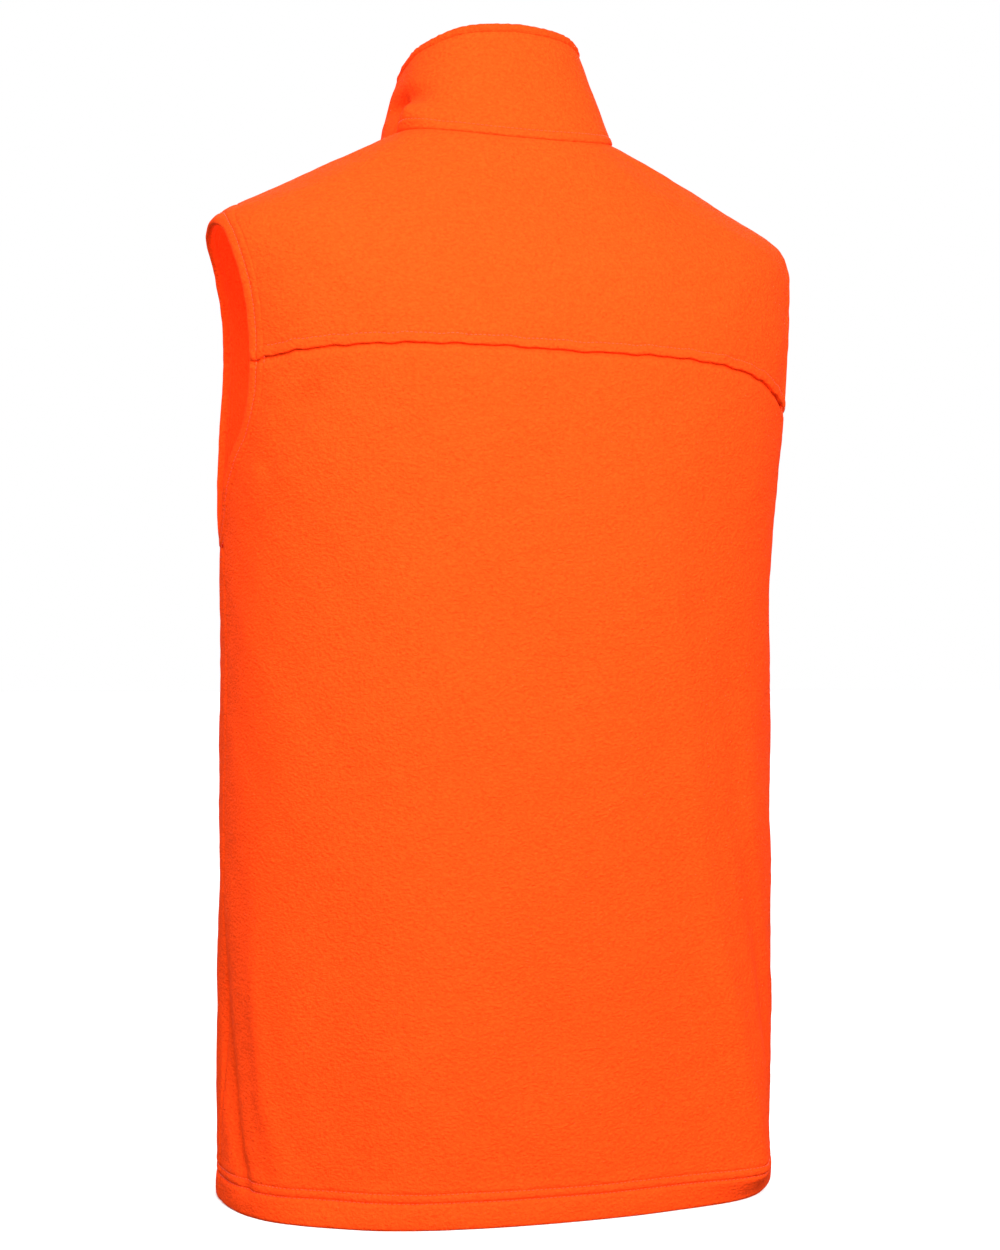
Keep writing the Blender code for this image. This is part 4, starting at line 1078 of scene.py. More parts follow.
def build_armhole_band(name, sign, hole, materials):
    """The turned band around an armhole, from its stitch line round the fold to the raw edge."""
    curve, ways = hole.curve, hole.ways
    steps = np.hypot(np.diff(curve[:, 0], append=curve[:1, 0]) * SIDE_REACH,
                     np.diff(curve[:, 1], append=curve[:1, 1]))
    run = np.concatenate([[0.0], np.cumsum(steps)])
    # Stations are closer together where the yoke seam crosses the band.
    gap = np.abs(curve[:, 1] - yoke_level(curve[:, 0] * sign))
    crossing = run[int(np.argmin(np.where(curve[:, 0] < math.pi / 2, gap, 1.0)))]
    where = [0.0]
    while where[-1] < run[-1] - 0.0015:
        near = abs(where[-1] - crossing) < 0.010
        where.append(where[-1] + (0.0006 if near else 0.0024))
    where = np.array(where[:-1])
    at, way = (np.stack([np.interp(where, run, np.append(values[:, i], values[0, i]))
                         for i in (0, 1)], axis=1) for values in (curve, ways))

    radius = (OUTER_MID - TURNED_MID) / 2
    middle = (OUTER_MID + TURNED_MID) / 2
    fold = CLOTH / 2 + radius
    outer_d = np.concatenate([np.linspace(ARMHOLE_BAND, ARMHOLE_BAND - 0.003, 6),
                              np.linspace(ARMHOLE_BAND - 0.0042, ARMHOLE_STITCH + 0.0012, 3),
                              np.linspace(ARMHOLE_STITCH + 0.0006, ARMHOLE_STITCH - 0.0012, 4),
                              np.linspace(ARMHOLE_STITCH - 0.0020, fold, 4)])
    turn = np.linspace(0, math.pi, 9)[1:-1]
    fold_d = fold - radius * np.sin(turn)
    fold_o = middle + radius * np.cos(turn)
    inner_d = np.linspace(fold, ARMHOLE_BAND + 0.0010, 12)
    path_d = np.concatenate([outer_d, fold_d, inner_d])
    path_o = np.concatenate([np.full(len(outer_d), OUTER_MID), fold_o,
                             np.full(len(inner_d), TURNED_MID)])
    d_along, d_out = np.gradient(path_d), np.gradient(path_o)
    length = np.hypot(d_along, d_out)
    side_d, side_o = d_out / length, -d_along / length
    half = np.full(len(path_d), CLOTH / 2)
    half[-1] = CLOTH * 0.3
    relief = (groove(path_d - ARMHOLE_BAND, *BAND_GROOVE)
              + groove(path_d - ARMHOLE_STITCH, 0.00045, 0.0007)
              + 0.0005 * np.clip(np.sin(math.pi * path_d / ARMHOLE_STITCH), 0, 1)
              * (path_d < ARMHOLE_STITCH)
              + 0.0003 * np.clip(np.sin(math.pi * (path_d - ARMHOLE_STITCH)
                                        / (ARMHOLE_BAND - ARMHOLE_STITCH)), 0, 1)
              * (path_d >= ARMHOLE_STITCH))
    outside = side_o > 0.3
    face_d = np.concatenate([path_d + side_d * (half + relief), (path_d - side_d * half)[::-1]])
    face_o = np.concatenate([path_o + side_o * (half + relief), (path_o - side_o * half)[::-1]])
    is_outer = np.concatenate([outside, outside[::-1]])

    phi = at[:, :1] + way[:, :1] * face_d[None, :]
    level = at[:, 1:] + way[:, 1:] * face_d[None, :]
    above = (level - yoke_level(phi * sign)) * BACK_RISE
    on_back = (phi < math.pi / 2) & is_outer[None, :]
    tucked = -0.0017 * smooth((0.0048 + above) / 0.0048) * (1 - smooth((above + 0.0006) / 0.0008))
    step_up = np.where(above > 0, welt(above, YOKE_WELT, 0.0008), 0.0) + tucked * (above < 0.0004)
    near_edge = smooth(face_d / 0.004)
    offset = face_o[None, :] + np.where(on_back, step_up, 0.0) * near_edge[None, :]
    sections = lay(body, phi * sign, level, offset)
    tube(name + "_armhole_band", sections, materials["fleece"], ring_closed=True)


# ---------------------------------------------------------------------------------------------
# Collar


def collar_columns(edge_x):
    """Angles around the collar, from its right front edge to its left one."""
    end = float(collar_front_phi(edge_x, 0.5))
    near = np.array([0.0, 0.0005, 0.0011, 0.0020, 0.0036, 0.0056, 0.0066, 0.0072, 0.0078, 0.0090])
    count = 150
    share = np.concatenate([near / 0.40, np.linspace(near[-1] / 0.40, 1 - near[-1] / 0.40,
                                                     count + 1)[1:-1], 1 - near[::-1] / 0.40])
    return (2 * share - 1) * end


def collar_layer(name, edge_x, mid, low, high, material, nodes, relief_at):
    """One layer of the collar between two distances, from the seam and from the top edge."""
    columns = collar_columns(edge_x)
    near_low = np.array([0.0, 0.0004, 0.0009, 0.0016, 0.0025, 0.0035, 0.0045, 0.0053, 0.0059,
                         0.0064, 0.0070, 0.0080])
    near_high = np.array([0.0030, 0.0020, 0.0012, 0.0006, 0.0])
    rows = 30
    tall = collar_height(columns)
    bottom = low + near_low[-1]
    top = tall - high - near_high[0]
    height = np.array([(low + extra) / tall for extra in near_low]
                      + [(bottom + (top - bottom) * i / rows) / tall for i in range(1, rows)]
                      + [(tall - high - left) / tall for left in near_high])
    phi = columns / columns[-1] * collar_front_phi(edge_x, height)
    from_seam = height * tall
    from_top = (1 - height) * tall - high
    from_edge = np.abs(collar(phi, height)[..., 0]) - edge_x
    from_edge = np.where(np.cos(phi) < 0, np.maximum(from_edge, 0.0), 1.0)
    half = CLOTH / 2 * bullnose(from_edge)
    relief, inner, shift = relief_at(from_seam - low, from_top, from_edge)
    outer_face = lay(collar, phi, height, mid + shift + half + relief * (half > 0.0005))
    inner_face = lay(collar, phi, height, mid + shift - half - inner)
    shell(name, outer_face, inner_face, material, nodes)


def build_collar(materials):
    """The collar's two layers, and the band over their top edges."""
    # Each gives the relief of the layer's outer and inner faces, and the layer's own shift.
    def outer_relief(from_seam, from_top, from_edge):
        relief = (welt(from_seam, NECK_WELT, 0.0005)
                  + groove(from_seam - NECK_WELT - 0.0003, *NECK_GROOVE)
                  + groove(from_edge - 0.0072, 0.0005, 0.0007)
                  - 0.0006 * smooth((0.0010 - from_seam) / 0.0010))
        return relief, 0.0, -0.0006 * smooth((0.0028 - from_top) / 0.0028)

    def lining_relief(from_seam, from_top, from_edge):
        inner = groove(from_edge - 0.003, *NECK_GROOVE)
        return 0.0, inner, 0.0004 * smooth((0.0028 - from_top) / 0.0028)

    collar_layer("collar_cloth", FRONT_EDGE, OUTER_MID, 0.0004, BAND_DEPTH, materials["fleece"],
                 ("collar_outer",), outer_relief)
    collar_layer("collar_lining_cloth", LINING_EDGE, LINING_MID, 0.0006, BAND_DEPTH,
                 materials["lining"], ("collar_lining",), lining_relief)

    # The band: a strip of fleece folded over both layers' top edges.
    columns = collar_columns(FRONT_EDGE)
    tall = collar_height(columns)
    angles = np.linspace(0, 2 * math.pi, 28, endpoint=False)
    flat = np.abs(np.cos(angles)) ** 0.62 * np.sign(np.cos(angles))
    lift = np.abs(np.sin(angles)) ** 0.75 * np.sign(np.sin(angles))
    offset = BAND_MIDDLE + BAND_HALF_WIDTH * flat * (1 - 0.10 * (lift < 0) * np.abs(lift))
    drop = BAND_HALF_HEIGHT * (1 - lift)
    height = 1 - drop[None, :] / tall[:, None]
    phi = columns[:, None] / columns[-1] * collar_front_phi(FRONT_EDGE, height)
    wavy = 0.00022 * np.sin(columns * 61.0) + 0.00016 * np.sin(columns * 113.0 + 1.0)
    sections = lay(collar, phi, height, offset[None, :] + wavy[:, None])
    tube("collar_edge_band", sections, materials["binding"], ("collar_edge_binding",))


# ---------------------------------------------------------------------------------------------
# Zips


class ZipLine:
    """A zip's centre line, an arc. Its places are given as (side, depth, along)."""

    def __init__(self, middle, outward, upward, radius):
        self.outward = outward.normalized()
        self.upward = (upward - self.outward * upward.dot(self.outward)).normalized()
        self.side = self.upward.cross(self.outward)
        self.radius = radius
        self.centre = middle - self.outward * radius

    def matrix(self, along):
        angle = along / self.radius
        outward = self.outward * math.cos(angle) + self.upward * math.sin(angle)
        upward = self.upward * math.cos(angle) - self.outward * math.sin(angle)
        place = self.centre + outward * self.radius
        axes = Matrix((self.side, -outward, upward)).transposed()
        return Matrix.Translation(place) @ axes.to_4x4()

    def points(self, side, depth, along):
        """Many places at once, from arrays."""
        side, depth, along = np.broadcast_arrays(side, depth, along)
        angle = along / self.radius
        out, up, across = (np.array(v) for v in (self.outward, self.upward, self.side))
        outward = out * np.cos(angle)[..., None] + up * np.sin(angle)[..., None]
        reach = (self.radius - depth)[..., None]
        return np.array(self.centre) + outward * reach + across * side[..., None]


def main_zip_line():
    middle = Vector((0.0, -FRONT_REACH, FRONT_BULGE_Z))
    return ZipLine(middle, Vector((0, -1, 0)), Vector((0, 0, 1)), FRONT_RADIUS)


def main_along(z):
    return FRONT_RADIUS * math.asin((z - FRONT_BULGE_Z) / FRONT_RADIUS)


def pocket_zip_line(sign):
    phi = float(front_phi(POCKET_CENTRE_X, POCKET_CENTRE_Z)) * sign
    outward = Vector(normals(body, phi, POCKET_CENTRE_Z))
    middle = Vector(body(phi, POCKET_CENTRE_Z)) + outward * FABRIC
    level_side = Vector((0, 0, 1)).cross(outward).normalized()
    upward = outward.cross(level_side)
    upward = upward * math.cos(POCKET_SLANT) + level_side * (-sign) * math.sin(POCKET_SLANT)
    return ZipLine(middle, outward, upward, POCKET_ZIP_RADIUS)


def zip_tape(name, kind, line, way, span, materials, node):
    """A woven tape with a thicker cord along the edge that holds the teeth."""
    near, far = ZIPS[kind]["tape"]
    depth = ZIPS[kind]["tape_depth"]
    share = np.array([0.0, 0.04, 0.09, 0.14, 0.20, 0.35, 0.55, 0.75, 0.95, 1.0])
    side = near * way + (far * way - near * way) * share
    thick = np.interp(share, (0.0, 0.04, 0.12, 0.20, 1.0), (0.00025, 0.00050, 0.00055, 0.00028,
                                                            0.00024))
    along = spaced(span[0], span[1], STEP)
    place = [line.points(side[None, :], depth + way * thick[None, :], along[:, None])
             for way in (-1, 1)]
    shell(name, place[0], place[1], materials["tape"], (node,))


def tooth_template(size, taper):
    """A chamfered tooth: half sizes to the side, in depth and along, slimmer at its tip."""
    solid = bmesh.new()
    bmesh.ops.create_cube(solid, size=2.0)
    bmesh.ops.bevel(solid, geom=solid.edges[:], offset=0.28, segments=2, affect="EDGES",
                    profile=0.6)
    places = np.array([v.co[:] for v in solid.verts])
    faces = [[v.index for v in f.verts] for f in solid.faces]
    solid.free()
    slim = 1 - taper * (1 - (places[:, 0] + 1) / 2)
    places[:, 2] *= slim
    return places * np.array(size), faces


def teeth_row(name, kind, line, way, span, materials, node):
    """A row of teeth on one side of a zip; the two sides' teeth lie between each other."""
    root, depths, pitch = (ZIPS[kind][size] for size in ("tooth_root", "tooth_depths", "pitch"))
    tip = TOOTH_TIP
    phase = 0.0 if way > 0 else 0.5
    half = ((root - tip) / 2, (depths[1] - depths[0]) / 2, pitch * 0.30)
    template, faces = tooth_template(half, 0.25)
    starts = np.arange(span[0] + pitch * (0.3 + phase), span[1] - pitch * 0.3, pitch)
    side = ((tip + root) / 2 + template[:, 0]) * way
    depth = (depths[0] + depths[1]) / 2 + template[:, 1]
    vertices = line.points(side[None, :], depth[None, :], starts[:, None] + template[None, :, 2])
    all_faces = []
    for i in range(len(starts)):
        first = i * len(template)
        all_faces += [[first + k for k in face] for face in faces]
    new_piece(name, vertices, all_faces, materials["plastic"], (node,))


def solid_object(name, solid, matrix, look, materials, node, ride_on):
    """A piece from a bmesh, of the zip's metal or plastic."""
    mesh = bpy.data.meshes.new(name)
    solid.transform(matrix)
    solid.to_mesh(mesh)
    solid.free()
    item = bpy.data.objects.new(name, mesh)
    place_piece(item, materials[look], (node,), ride_on)


def outline_plate(outline, thickness, bevel):
    """A plate with rounded rims from an outline in the XZ plane, centred in depth."""
    solid = bmesh.new()
    low = [solid.verts.new((x, -thickness / 2, z)) for x, z in outline]
    high = [solid.verts.new((x, thickness / 2, z)) for x, z in outline]
    solid.faces.new(low)
    solid.faces.new(high[::-1])
    for i in range(len(outline)):
        j = (i + 1) % len(outline)
        solid.faces.new((low[j], low[i], high[i], high[j]))
    rims = [e for e in solid.edges if abs(e.verts[0].co.y - e.verts[1].co.y) < 1e-9]
    bmesh.ops.bevel(solid, geom=rims, offset=bevel, segments=3, affect="EDGES", profile=0.5)
    return solid


def rounded_outline(half_low, half_high, low, high, radius, steps=6):
    """A tapered shape with round corners in the XZ plane, its low end of another width."""
    corners = ((half_high, high, 0), (-half_high, high, 90), (-half_low, low, 180),
               (half_low, low, 270))
    points = []
    for x, z, start in corners:
        centre_x = x - math.copysign(radius, x)
        centre_z = z - radius if z == high else z + radius
        for i in range(steps + 1):
            angle = (start + 90 * i / steps) * DEG
            points.append((centre_x + radius * math.cos(angle),
                           centre_z + radius * math.sin(angle)))
    return points


def merge(target, other, matrix=Matrix.Identity(4)):
    other.transform(matrix)
    mesh = bpy.data.meshes.new("part")
    other.to_mesh(mesh)
    other.free()
    target.from_mesh(mesh)
    bpy.data.meshes.remove(mesh)


def wire_loop(points, radius):
    """A bent wire through points in the YZ plane, wider than it is thick."""
    solid = bmesh.new()
    sides = 10
    points = np.array(points)
    ahead = np.gradient(points, axis=0)
    ahead /= np.linalg.norm(ahead, axis=1, keepdims=True)
    across = np.array([1.0, 0.0, 0.0])
    rings = []
    for point, way in zip(points, ahead):
        out = np.cross(way, across)
        rings.append([solid.verts.new(point + radius * (across * math.cos(a) * 1.5
                                                        + out * math.sin(a)))
                      for a in np.linspace(0, 2 * math.pi, sides, endpoint=False)])
    for first, second in zip(rings, rings[1:]):
        for i in range(sides):
            j = (i + 1) % sides
            solid.faces.new((first[i], first[j], second[j], second[i]))
    solid.faces.new(rings[0][::-1])
    solid.faces.new(rings[-1])
    return solid


def build_slider(name, kind, line, along, materials, node):
    """A die-cast slider: a shield-shaped top plate, a bottom plate, a web and the bridge."""
    half, side = ZIPS[kind]["slider_length"] / 2, ZIPS[kind]["slider_side"]
    top, bottom = ZIPS[kind]["slider_top"], ZIPS[kind]["slider_bottom"]
    shield = rounded_outline(side * 0.72, side, -half, half, side * 0.42)
    top_mid, bottom_mid = sum(top) / 2, sum(bottom) / 2
    solid = outline_plate(shield, top[1] - top[0], 0.0003)
    solid.transform(Matrix.Translation((0, top_mid, 0)))
    merge(solid, outline_plate(shield, bottom[1] - bottom[0], 0.0003),
          Matrix.Translation((0, bottom_mid, 0)))
    web = outline_plate(rounded_outline(0.00028, 0.00028, -half * 0.6, half * 0.6, 0.00025, 2),
                        bottom_mid - top_mid, 0.00005)
    merge(solid, web, Matrix.Translation((0, (top_mid + bottom_mid) / 2, 0)))
    crown = top[0] - BRIDGE_RISE
    arch = []
    for i in range(17):
        angle = math.pi * i / 16
        lift = math.sin(angle) ** 0.5
        arch.append((0.0, top_mid + (crown - top_mid) * lift, 0.0030 * math.cos(angle)))
    merge(solid, wire_loop(arch, BRIDGE_WIRE))
    solid_object(name, solid, line.matrix(along), "metal", materials, node, node)


def build_pull(name, kind, line, along, materials, node):
    """A flat cast pull with a hole that takes the bridge, and a raised rim around its grip."""
    length, tip, side = (ZIPS[kind]["pull_" + size] for size in ("length", "tip", "side"))
    top = PULL_BAR / 2
    low = top - length
    outer = rounded_outline(tip, side, low, top, 0.0012)
    hole = rounded_outline(0.0014, 0.0014, -top - 0.0052, -top, 0.0006)
    solid = bmesh.new()
    thick = PULL_THICKNESS / 2
    rings = []
    for outline, way in ((outer, 1), (hole, -1)):
        spots = np.array(outline)
        from_centre = spots - spots.mean(axis=0)
        out = from_centre / np.linalg.norm(from_centre, axis=1, keepdims=True)
        small = spots - out * PULL_RIM * way
        rings.append([
            [solid.verts.new((x, depth, z)) for x, z in places]
            for places, depth in ((small, -thick), (spots, -thick + PULL_RIM),
                                  (spots, thick - PULL_RIM), (small, thick))])
    count = len(outer)
    for levels in rings:
        for first, second in zip(levels, levels[1:]):
            for i in range(count):
                j = (i + 1) % count
                solid.faces.new((first[i], first[j], second[j], second[i]))
    for face in (0, 3):
        for i in range(count):
            j = (i + 1) % count
            solid.faces.new((rings[0][face][i], rings[0][face][j], rings[1][face][j],
                             rings[1][face][i]))
    grip = rounded_outline(tip * 0.62, side * 0.60, low + 0.0016, low + length * 0.62, 0.0012)
    merge(solid, outline_plate(grip, PULL_THICKNESS * 1.36, 0.0002))
    slider_top = ZIPS[kind]["slider_top"][0]
    bar_depth = (slider_top - BRIDGE_RISE + BRIDGE_WIRE + slider_top) / 2
    matrix = line.matrix(along) @ Matrix.Translation((0, bar_depth, 0))
    matrix = matrix @ Matrix.Rotation(-ZIPS[kind]["pull_lean"], 4, "X")
    solid_object(name, solid, matrix, "metal", materials, node, node)


def build_block(name, line, side, depth, span, look, materials, node):
    """A small moulded block on a zip, its edges rounded."""
    solid = bmesh.new()
    bmesh.ops.create_cube(solid, size=1.0)
    bmesh.ops.scale(solid, vec=(side[1] - side[0], depth[1] - depth[0], span[1] - span[0]),
                    verts=solid.verts)
    bmesh.ops.bevel(solid, geom=solid.edges[:], offset=BLOCK_BEVEL, segments=3, affect="EDGES",
                    profile=0.5)
    matrix = line.matrix((span[0] + span[1]) / 2) @ Matrix.Translation(
        ((side[0] + side[1]) / 2, (depth[0] + depth[1]) / 2, 0))
    solid_object(name, solid, matrix, look, materials, node, "vest")


def build_main_zip(materials):
    line = main_zip_line()
    bottom, top = main_along(ZIP_BOTTOM_Z), main_along(ZIP_TOP_Z)
    box_bottom = bottom + TAPE_END
    box_top = box_bottom + BOX_LENGTH
    stop_top = top - TAPE_END
    chain_top = stop_top - STOP_LENGTH - CLEAR
    for name, way in (("left", 1), ("right", -1)):
        zip_tape(name + "_tape", "main", line, way, (bottom + TAPE_END, top), materials,
                 name + "_zip_tape")
        start = box_bottom + PIN_LENGTH + CLEAR if way > 0 else box_top + CLEAR
        teeth_row(name + "_teeth", "main", line, way, (start, chain_top), materials,
                  name + "_zip_chain")
        sides = sorted((0.0007 * way, 0.0034 * way))
        build_block(name + "_end_stop", line, sides, (0.0021, 0.0047),
                    (stop_top - STOP_LENGTH, stop_top), "plastic", materials, name + "_top_stop")
    along = stop_top - STOP_LENGTH - 2 * CLEAR - ZIPS["main"]["slider_length"] / 2
    build_slider("front_zip_slider", "main", line, along, materials, "main_zip_slider")
    build_pull("front_zip_pull", "main", line, along, materials, "main_zip_pull")
    for node in ("zip_retainer_box", "zip_insertion_pin"):
        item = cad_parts[node]
        item.data.materials.clear()
        item.data.materials.append(materials["plastic"])


def build_pocket(name, sign, materials):
    line = pocket_zip_line(sign)
    half = POCKET_ZIP_LENGTH / 2
    stops_at = half - POCKET_STOP_END
    coil_half = stops_at - POCKET_STOP_LENGTH - CLEAR
    node = name + "_pocket_"
    for edge, way in (("front", -sign), ("back", sign)):
        zip_tape(node + edge + "_woven_tape", "pocket", line, way, (-half, half), materials,
                 node + edge + "_tape")
        teeth_row(node + edge + "_teeth", "pocket", line, way, (-coil_half, coil_half), materials,
                  node + edge + "_coil")
    stop_side = (-0.0027, 0.0027)
    for end, low in (("top_stop", stops_at - POCKET_STOP_LENGTH), ("bottom_stop", -stops_at)):
        build_block(node + end + "_clip", line, stop_side, (0.0021, 0.0043),
                    (low, low + POCKET_STOP_LENGTH), "metal", materials, node + end)
    along = stops_at - POCKET_STOP_LENGTH - ZIPS["pocket"]["slider_length"] / 2 - CLEAR
    build_slider(node + "zip_slider", "pocket", line, along, materials, node + "slider")
    build_pull(node + "zip_pull", "pocket", line, along, materials, node + "pull")
    build_pocket_bag(node, sign, materials)


def build_pocket_bag(node, sign, materials):
    """The pocket's bag: one layer sewn to the front's inner face around its outline."""
    across = np.linspace(-1, 1, 34)
    up = np.linspace(-1, 1, 58)
    u, v = np.meshgrid(across, up)
    # Round the outline's corners by mapping the square grid to a rounded one.
    square = np.maximum(np.abs(u), np.abs(v))
    rounded = (np.abs(u) ** 6 + np.abs(v) ** 6) ** (1 / 6)
    pull_in = square / np.maximum(rounded, 1e-9)
    u, v = u * pull_in, v * pull_in
    x = (BAG_X[0] + BAG_X[1]) / 2 + u * (BAG_X[1] - BAG_X[0]) / 2
    z = (BAG_Z[0] + BAG_Z[1]) / 2 + v * (BAG_Z[1] - BAG_Z[0]) / 2
    phi = front_phi(x, z) * sign
    rim = (1 - square) * 0.065
    offset = -0.0007 - (BAG_SAG - 0.0007) * smooth(rim / 0.012)
    thick = 0.0005
    outer = lay(body, phi, z, offset + thick)
    inner = lay(body, phi, z, offset - thick)
    shell(node + "cloth_bag", outer, inner, materials["lining"], (node + "bag",))


# ---------------------------------------------------------------------------------------------
# Neck finishings


def build_neck_tape(materials):
    phi = np.linspace(-NECK_TAPE_END, NECK_TAPE_END, 70)
    tall = collar_height(phi)
    rise = np.array([0.0040, 0.0043, 0.0055, 0.0080, 0.0100, 0.0120, 0.0145, 0.0157, 0.0160])
    height = rise[:, None] / tall[None, :]
    phi = np.broadcast_to(phi, height.shape)
    thick = np.array([0.6, 1.0, 0.85, 1.0, 1.0, 1.0, 0.85, 1.0, 0.6])[:, None] * 0.00042
    outer = lay(collar, phi, height, NECK_TAPE_DEPTH + thick)
    inner = lay(collar, phi, height, NECK_TAPE_DEPTH - thick)
    shell("neck_seam_tape", outer, inner, materials["tape"], ("neck_tape",))


def build_label(materials):
    level = np.linspace(*LABEL_LEVELS, 18)
    x = np.linspace(-LABEL_HALF_WIDTH, LABEL_HALF_WIDTH, 24)
    grid_level, grid_x = np.meshgrid(level, x, indexing="ij")
    side_x = hermite(LEVELS, SIDE_X, grid_level)
    phi = np.copysign(np.arcsin((np.abs(grid_x) / side_x) ** (BACK_POWER[-1] / 2)), grid_x)
    rim = np.minimum(LABEL_HALF_WIDTH - np.abs(grid_x),
                     np.minimum(grid_level - level[0], level[-1] - grid_level))
    offset = -0.0007 - 0.0003 * smooth(rim / 0.006)
    outer = lay(body, phi, grid_level, offset + 0.00025)
    inner = lay(body, phi, grid_level, offset - 0.00025)
    shell("blank_label", outer, inner, materials["label"], ("neck_label",))


def build_hang_loop(materials):
    """A cord of two twisted strands, its ends sewn into the neck seam."""
    seam = body(0.0, NECK_LEVEL)
    angle = np.linspace(0.0, math.pi, 60)
    x = LOOP_HALF_WIDTH * np.cos(angle)
    z = seam[2] - 0.002 - LOOP_DROP * np.sin(angle)
    centre = np.stack([x, np.full_like(x, seam[1] - 0.0045), z], axis=1)
    ahead = np.gradient(centre, axis=0)
    ahead /= np.linalg.norm(ahead, axis=1, keepdims=True)
    out = np.array([0.0, 1.0, 0.0])
    beside = np.cross(ahead, out)
    around = np.linspace(0, 2 * math.pi, 20, endpoint=False)
    twist = np.cumsum(np.full(len(angle), 0.42))
    lobes = 0.00095 + 0.00030 * np.abs(np.cos(around[None, :] + twist[:, None]))
    sections = centre[:, None, :] + lobes[..., None] * (
        np.cos(around)[None, :, None] * beside[:, None, :] + np.sin(around)[None, :, None] * out)
    tube("hanging_loop", sections, materials["tape"], ("hang_loop",))


# ---------------------------------------------------------------------------------------------
# Stitch rows


def build_stitches(holes, materials):
    thread = materials["thread"]
    around = np.linspace(-171.0 * DEG, 171.0 * DEG, 900)
    for number, level in enumerate(HEM_STITCHES):
        line, out = seam_line(body, around, np.full_like(around, level), 0.0015 + 0.0003 * number)
        stitches(f"hem_stitches_{number + 1}", line, out, thread)
    for name, sign, hole in (("left", 1, holes[1]), ("right", -1, holes[-1])):
        for number, distance in enumerate((ARMHOLE_BAND, ARMHOLE_STITCH)):
            place = hole.curve + hole.ways * distance
            line, out = seam_line(body, place[:, 0] * sign, place[:, 1], 0.0016 + 0.0004 * number)
            stitches(f"{name}_armhole_stitches_{number + 1}", line, out, thread)
    left_end = float(holes[1].edge_phi(0.552, "back"))
    right_end = float(holes[-1].edge_phi(0.540, "back"))
    across = np.linspace(-right_end, left_end, 400)
    stitched = yoke_level(across) + (YOKE_WELT + 0.0004) / BACK_RISE
    line, out = seam_line(body, across, stitched, 0.0020)
    stitches("yoke_stitches", line, out, thread)
    end = float(collar_front_phi(0.012, 0.1))
    across = np.linspace(-end, end, 600)
    height = (NECK_WELT + 0.0007) / collar_height(across)
    line, out = seam_line(collar, across, height, 0.0019)
    stitches("neck_stitches", line, out, thread)
    for name, sign in (("left", 1), ("right", -1)):
        level = np.linspace(0.026, 0.765, 600)
        phi = front_phi(FRONT_EDGE + ZIP_STITCH, level) * sign
        line, out = seam_line(body, phi, level, 0.0018)
        stitches(f"{name}_zip_stitches", line, out, thread)
        build_pocket_stitches(name, sign, thread)


def build_pocket_stitches(name, sign, thread):
    reach_across = POCKET_SLOT_SIDE + SLOT_STITCH
    reach_along = POCKET_ZIP_LENGTH / 2 - POCKET_SLOT_END + SLOT_STITCH
    corners = np.array([(-reach_across, -reach_along), (reach_across, -reach_along),
                        (reach_across, reach_along), (-reach_across, reach_along),
                        (-reach_across, -reach_along)])
    lengths = np.concatenate([[0.0], np.cumsum(np.linalg.norm(np.diff(corners, axis=0), axis=1))])
    where = np.linspace(0, lengths[-1], 500)
    across = np.interp(where, lengths, corners[:, 0])
    along = np.interp(where, lengths, corners[:, 1])
    z = POCKET_CENTRE_Z + across * math.sin(SLOT_SLANT) + along * math.cos(SLOT_SLANT)
    x = POCKET_CENTRE_X + across / math.cos(SLOT_SLANT) + slot_shift(z)
    line, out = seam_line(body, front_phi(x, z) * sign, z, 0.0018)
    stitches(f"{name}_pocket_stitches", line, out, thread)


# ---------------------------------------------------------------------------------------------
# The scene


def aim(name, data, place, target):
    """A new camera or light in the scene, at a place and pointing at a target."""
    item = bpy.data.objects.new(name, data)
    item.location = place
    item.rotation_mode = "QUATERNION"
    item.rotation_quaternion = (Vector(target) - Vector(place)).to_track_quat("-Z", "Y")
    bpy.context.scene.collection.objects.link(item)
    return item


def build_camera():
    data = bpy.data.cameras.new("camera")
    data.lens = CAMERA_LENS
    data.sensor_width = 36.0
    data.shift_x, data.shift_y = CAMERA_SHIFT
    level_ahead = (0.0, 0.0, CAMERA_PLACE[2])
    bpy.context.scene.camera = aim("camera", data, CAMERA_PLACE, level_ahead)


def add_light(name, kind, place, target, power, **settings):
    data = bpy.data.lights.new(name, kind)
    data.energy = power
    for setting, value in settings.items():
        setattr(data, setting, value)
    return aim(name, data, place, target)


def build_lights():
    """A soft box on the upper back, one on its left side, a broad sun on the front, and a glow.

    The glow stands for light that the cloth lets through, seen on the lining and in the armholes.
    """
    boxes = (add_light("key", "AREA", (0.20, 1.65, 1.05), (0.0, 0.10, 0.45), 64.0, size=1.0),
             add_light("side", "AREA", (0.95, 0.25, 1.05), (0.19, 0.0, 0.55), 4.5, size=0.5),
             add_light("inside_glow", "POINT", (0.02, 0.0, 0.54), (0.02, 0.0, 0.0), 1.2,
                       shadow_soft_size=0.08))
    for light in boxes:
        light.visible_camera = False
    add_light("front", "SUN", (-0.35, -0.80, 0.50), (0.0, 0.0, 0.0), 2.0, angle=38 * DEG)


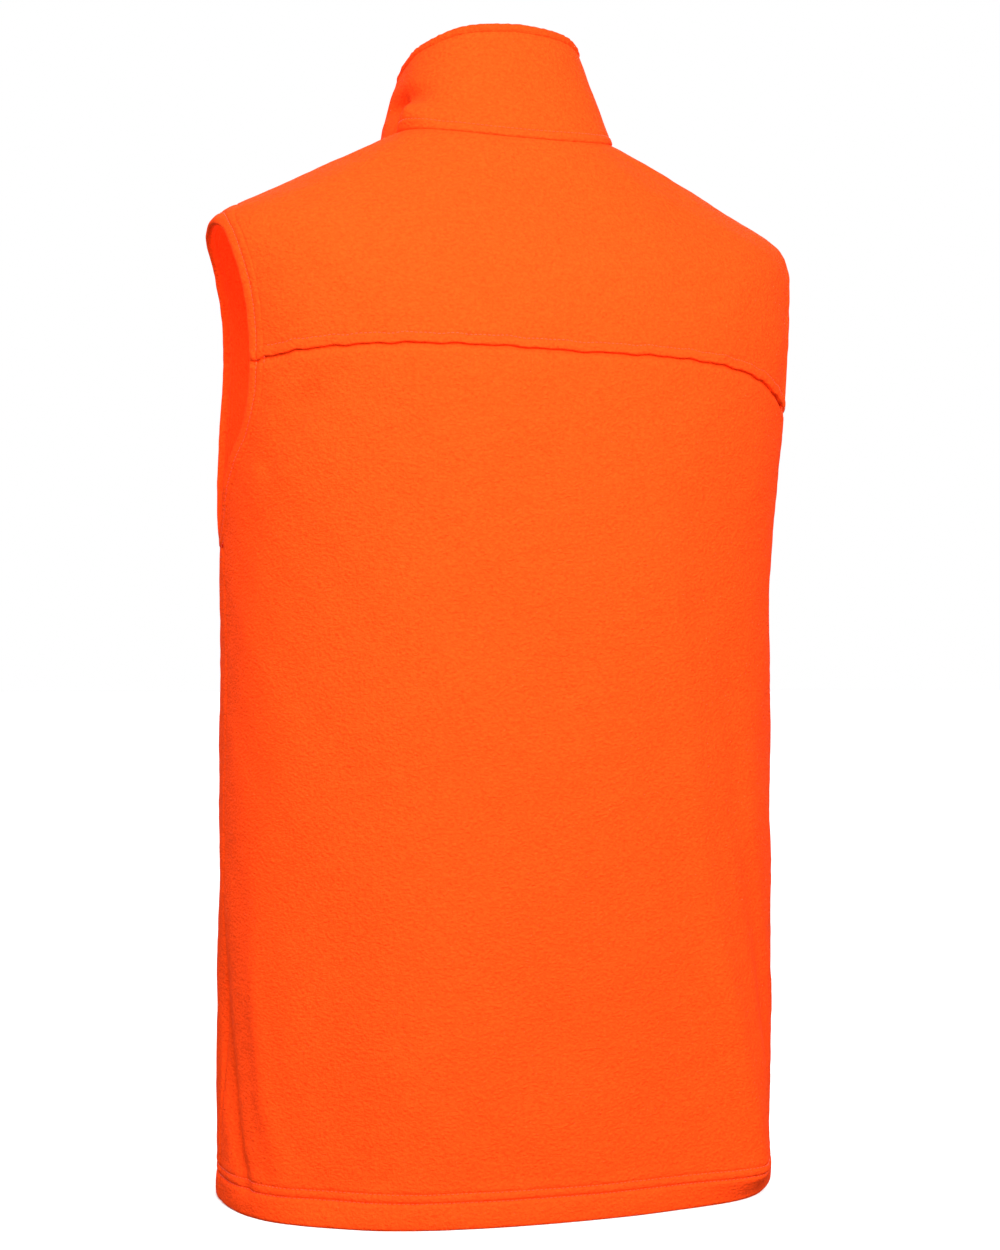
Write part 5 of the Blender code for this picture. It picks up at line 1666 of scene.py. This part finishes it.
def build_studio():
    """A wide white floor and a white sky, with less light from below."""
    mesh = bpy.data.meshes.new("floor")
    half = 60.0
    mesh.from_pydata([(-half, -half, 0), (half, -half, 0), (half, half, 0), (-half, half, 0)], [],
                     [(0, 1, 2, 3)])
    mesh.materials.append(floor_material())
    floor = bpy.data.objects.new("floor", mesh)
    bpy.context.scene.collection.objects.link(floor)
    floor.visible_diffuse = False

    # A white sky down to the horizon, and a dimmer glow from below it.
    world = bpy.data.worlds.new("studio")
    bpy.context.scene.world = world
    world.use_nodes = True
    tree = world.node_tree
    way = tree.nodes.new("ShaderNodeTexCoord").outputs["Generated"]
    split = tree.nodes.new("ShaderNodeSeparateXYZ")
    tree.links.new(way, split.inputs["Vector"])
    blend = tree.nodes.new("ShaderNodeMapRange")
    for socket, value in (("From Min", -0.10), ("From Max", -0.02), ("To Min", GROUND),
                          ("To Max", SKY)):
        blend.inputs[socket].default_value = value
    tree.links.new(split.outputs["Z"], blend.inputs["Value"])
    tree.links.new(blend.outputs["Result"], tree.nodes["Background"].inputs["Strength"])
    tree.nodes["Background"].inputs["Color"].default_value = (1.0, 1.0, 1.0, 1.0)

    bpy.context.scene.view_settings.view_transform = "Standard"


def build_materials():
    return {
        "fleece": fleece_material("fleece_cloth", FLEECE, FLEECE_TUFT_SHADE),
        "lining": fleece_material("lining_cloth", LINING, times(FLEECE_TUFT_SHADE, 0.95), 0.7),
        "binding": fleece_material("band_cloth", BINDING, times(FLEECE_TUFT_SHADE, 0.9), 1.1),
        "tape": woven_material("tape_cloth", TAPE, 1400.0, 0.75),
        "thread": thread_material(),
        "plastic": plastic_material(),
        "metal": metal_material(),
        "label": woven_material("label_cloth", LABEL, 2200.0, 0.7),
    }


def main():
    build_camera()
    build_studio()
    build_lights()
    materials = build_materials()
    holes = {1: Armhole(1), -1: Armhole(-1)}
    build_back_panel(holes, materials)
    build_back_yoke(holes, materials)
    for name, sign in (("left", 1), ("right", -1)):
        build_front_panel(name, sign, holes[sign], materials)
        build_armhole_band(name, sign, holes[sign], materials)
    build_collar(materials)
    build_main_zip(materials)
    for name, sign in (("left", 1), ("right", -1)):
        build_pocket(name, sign, materials)
    build_neck_tape(materials)
    build_label(materials)
    build_hang_loop(materials)
    build_stitches(holes, materials)


main()
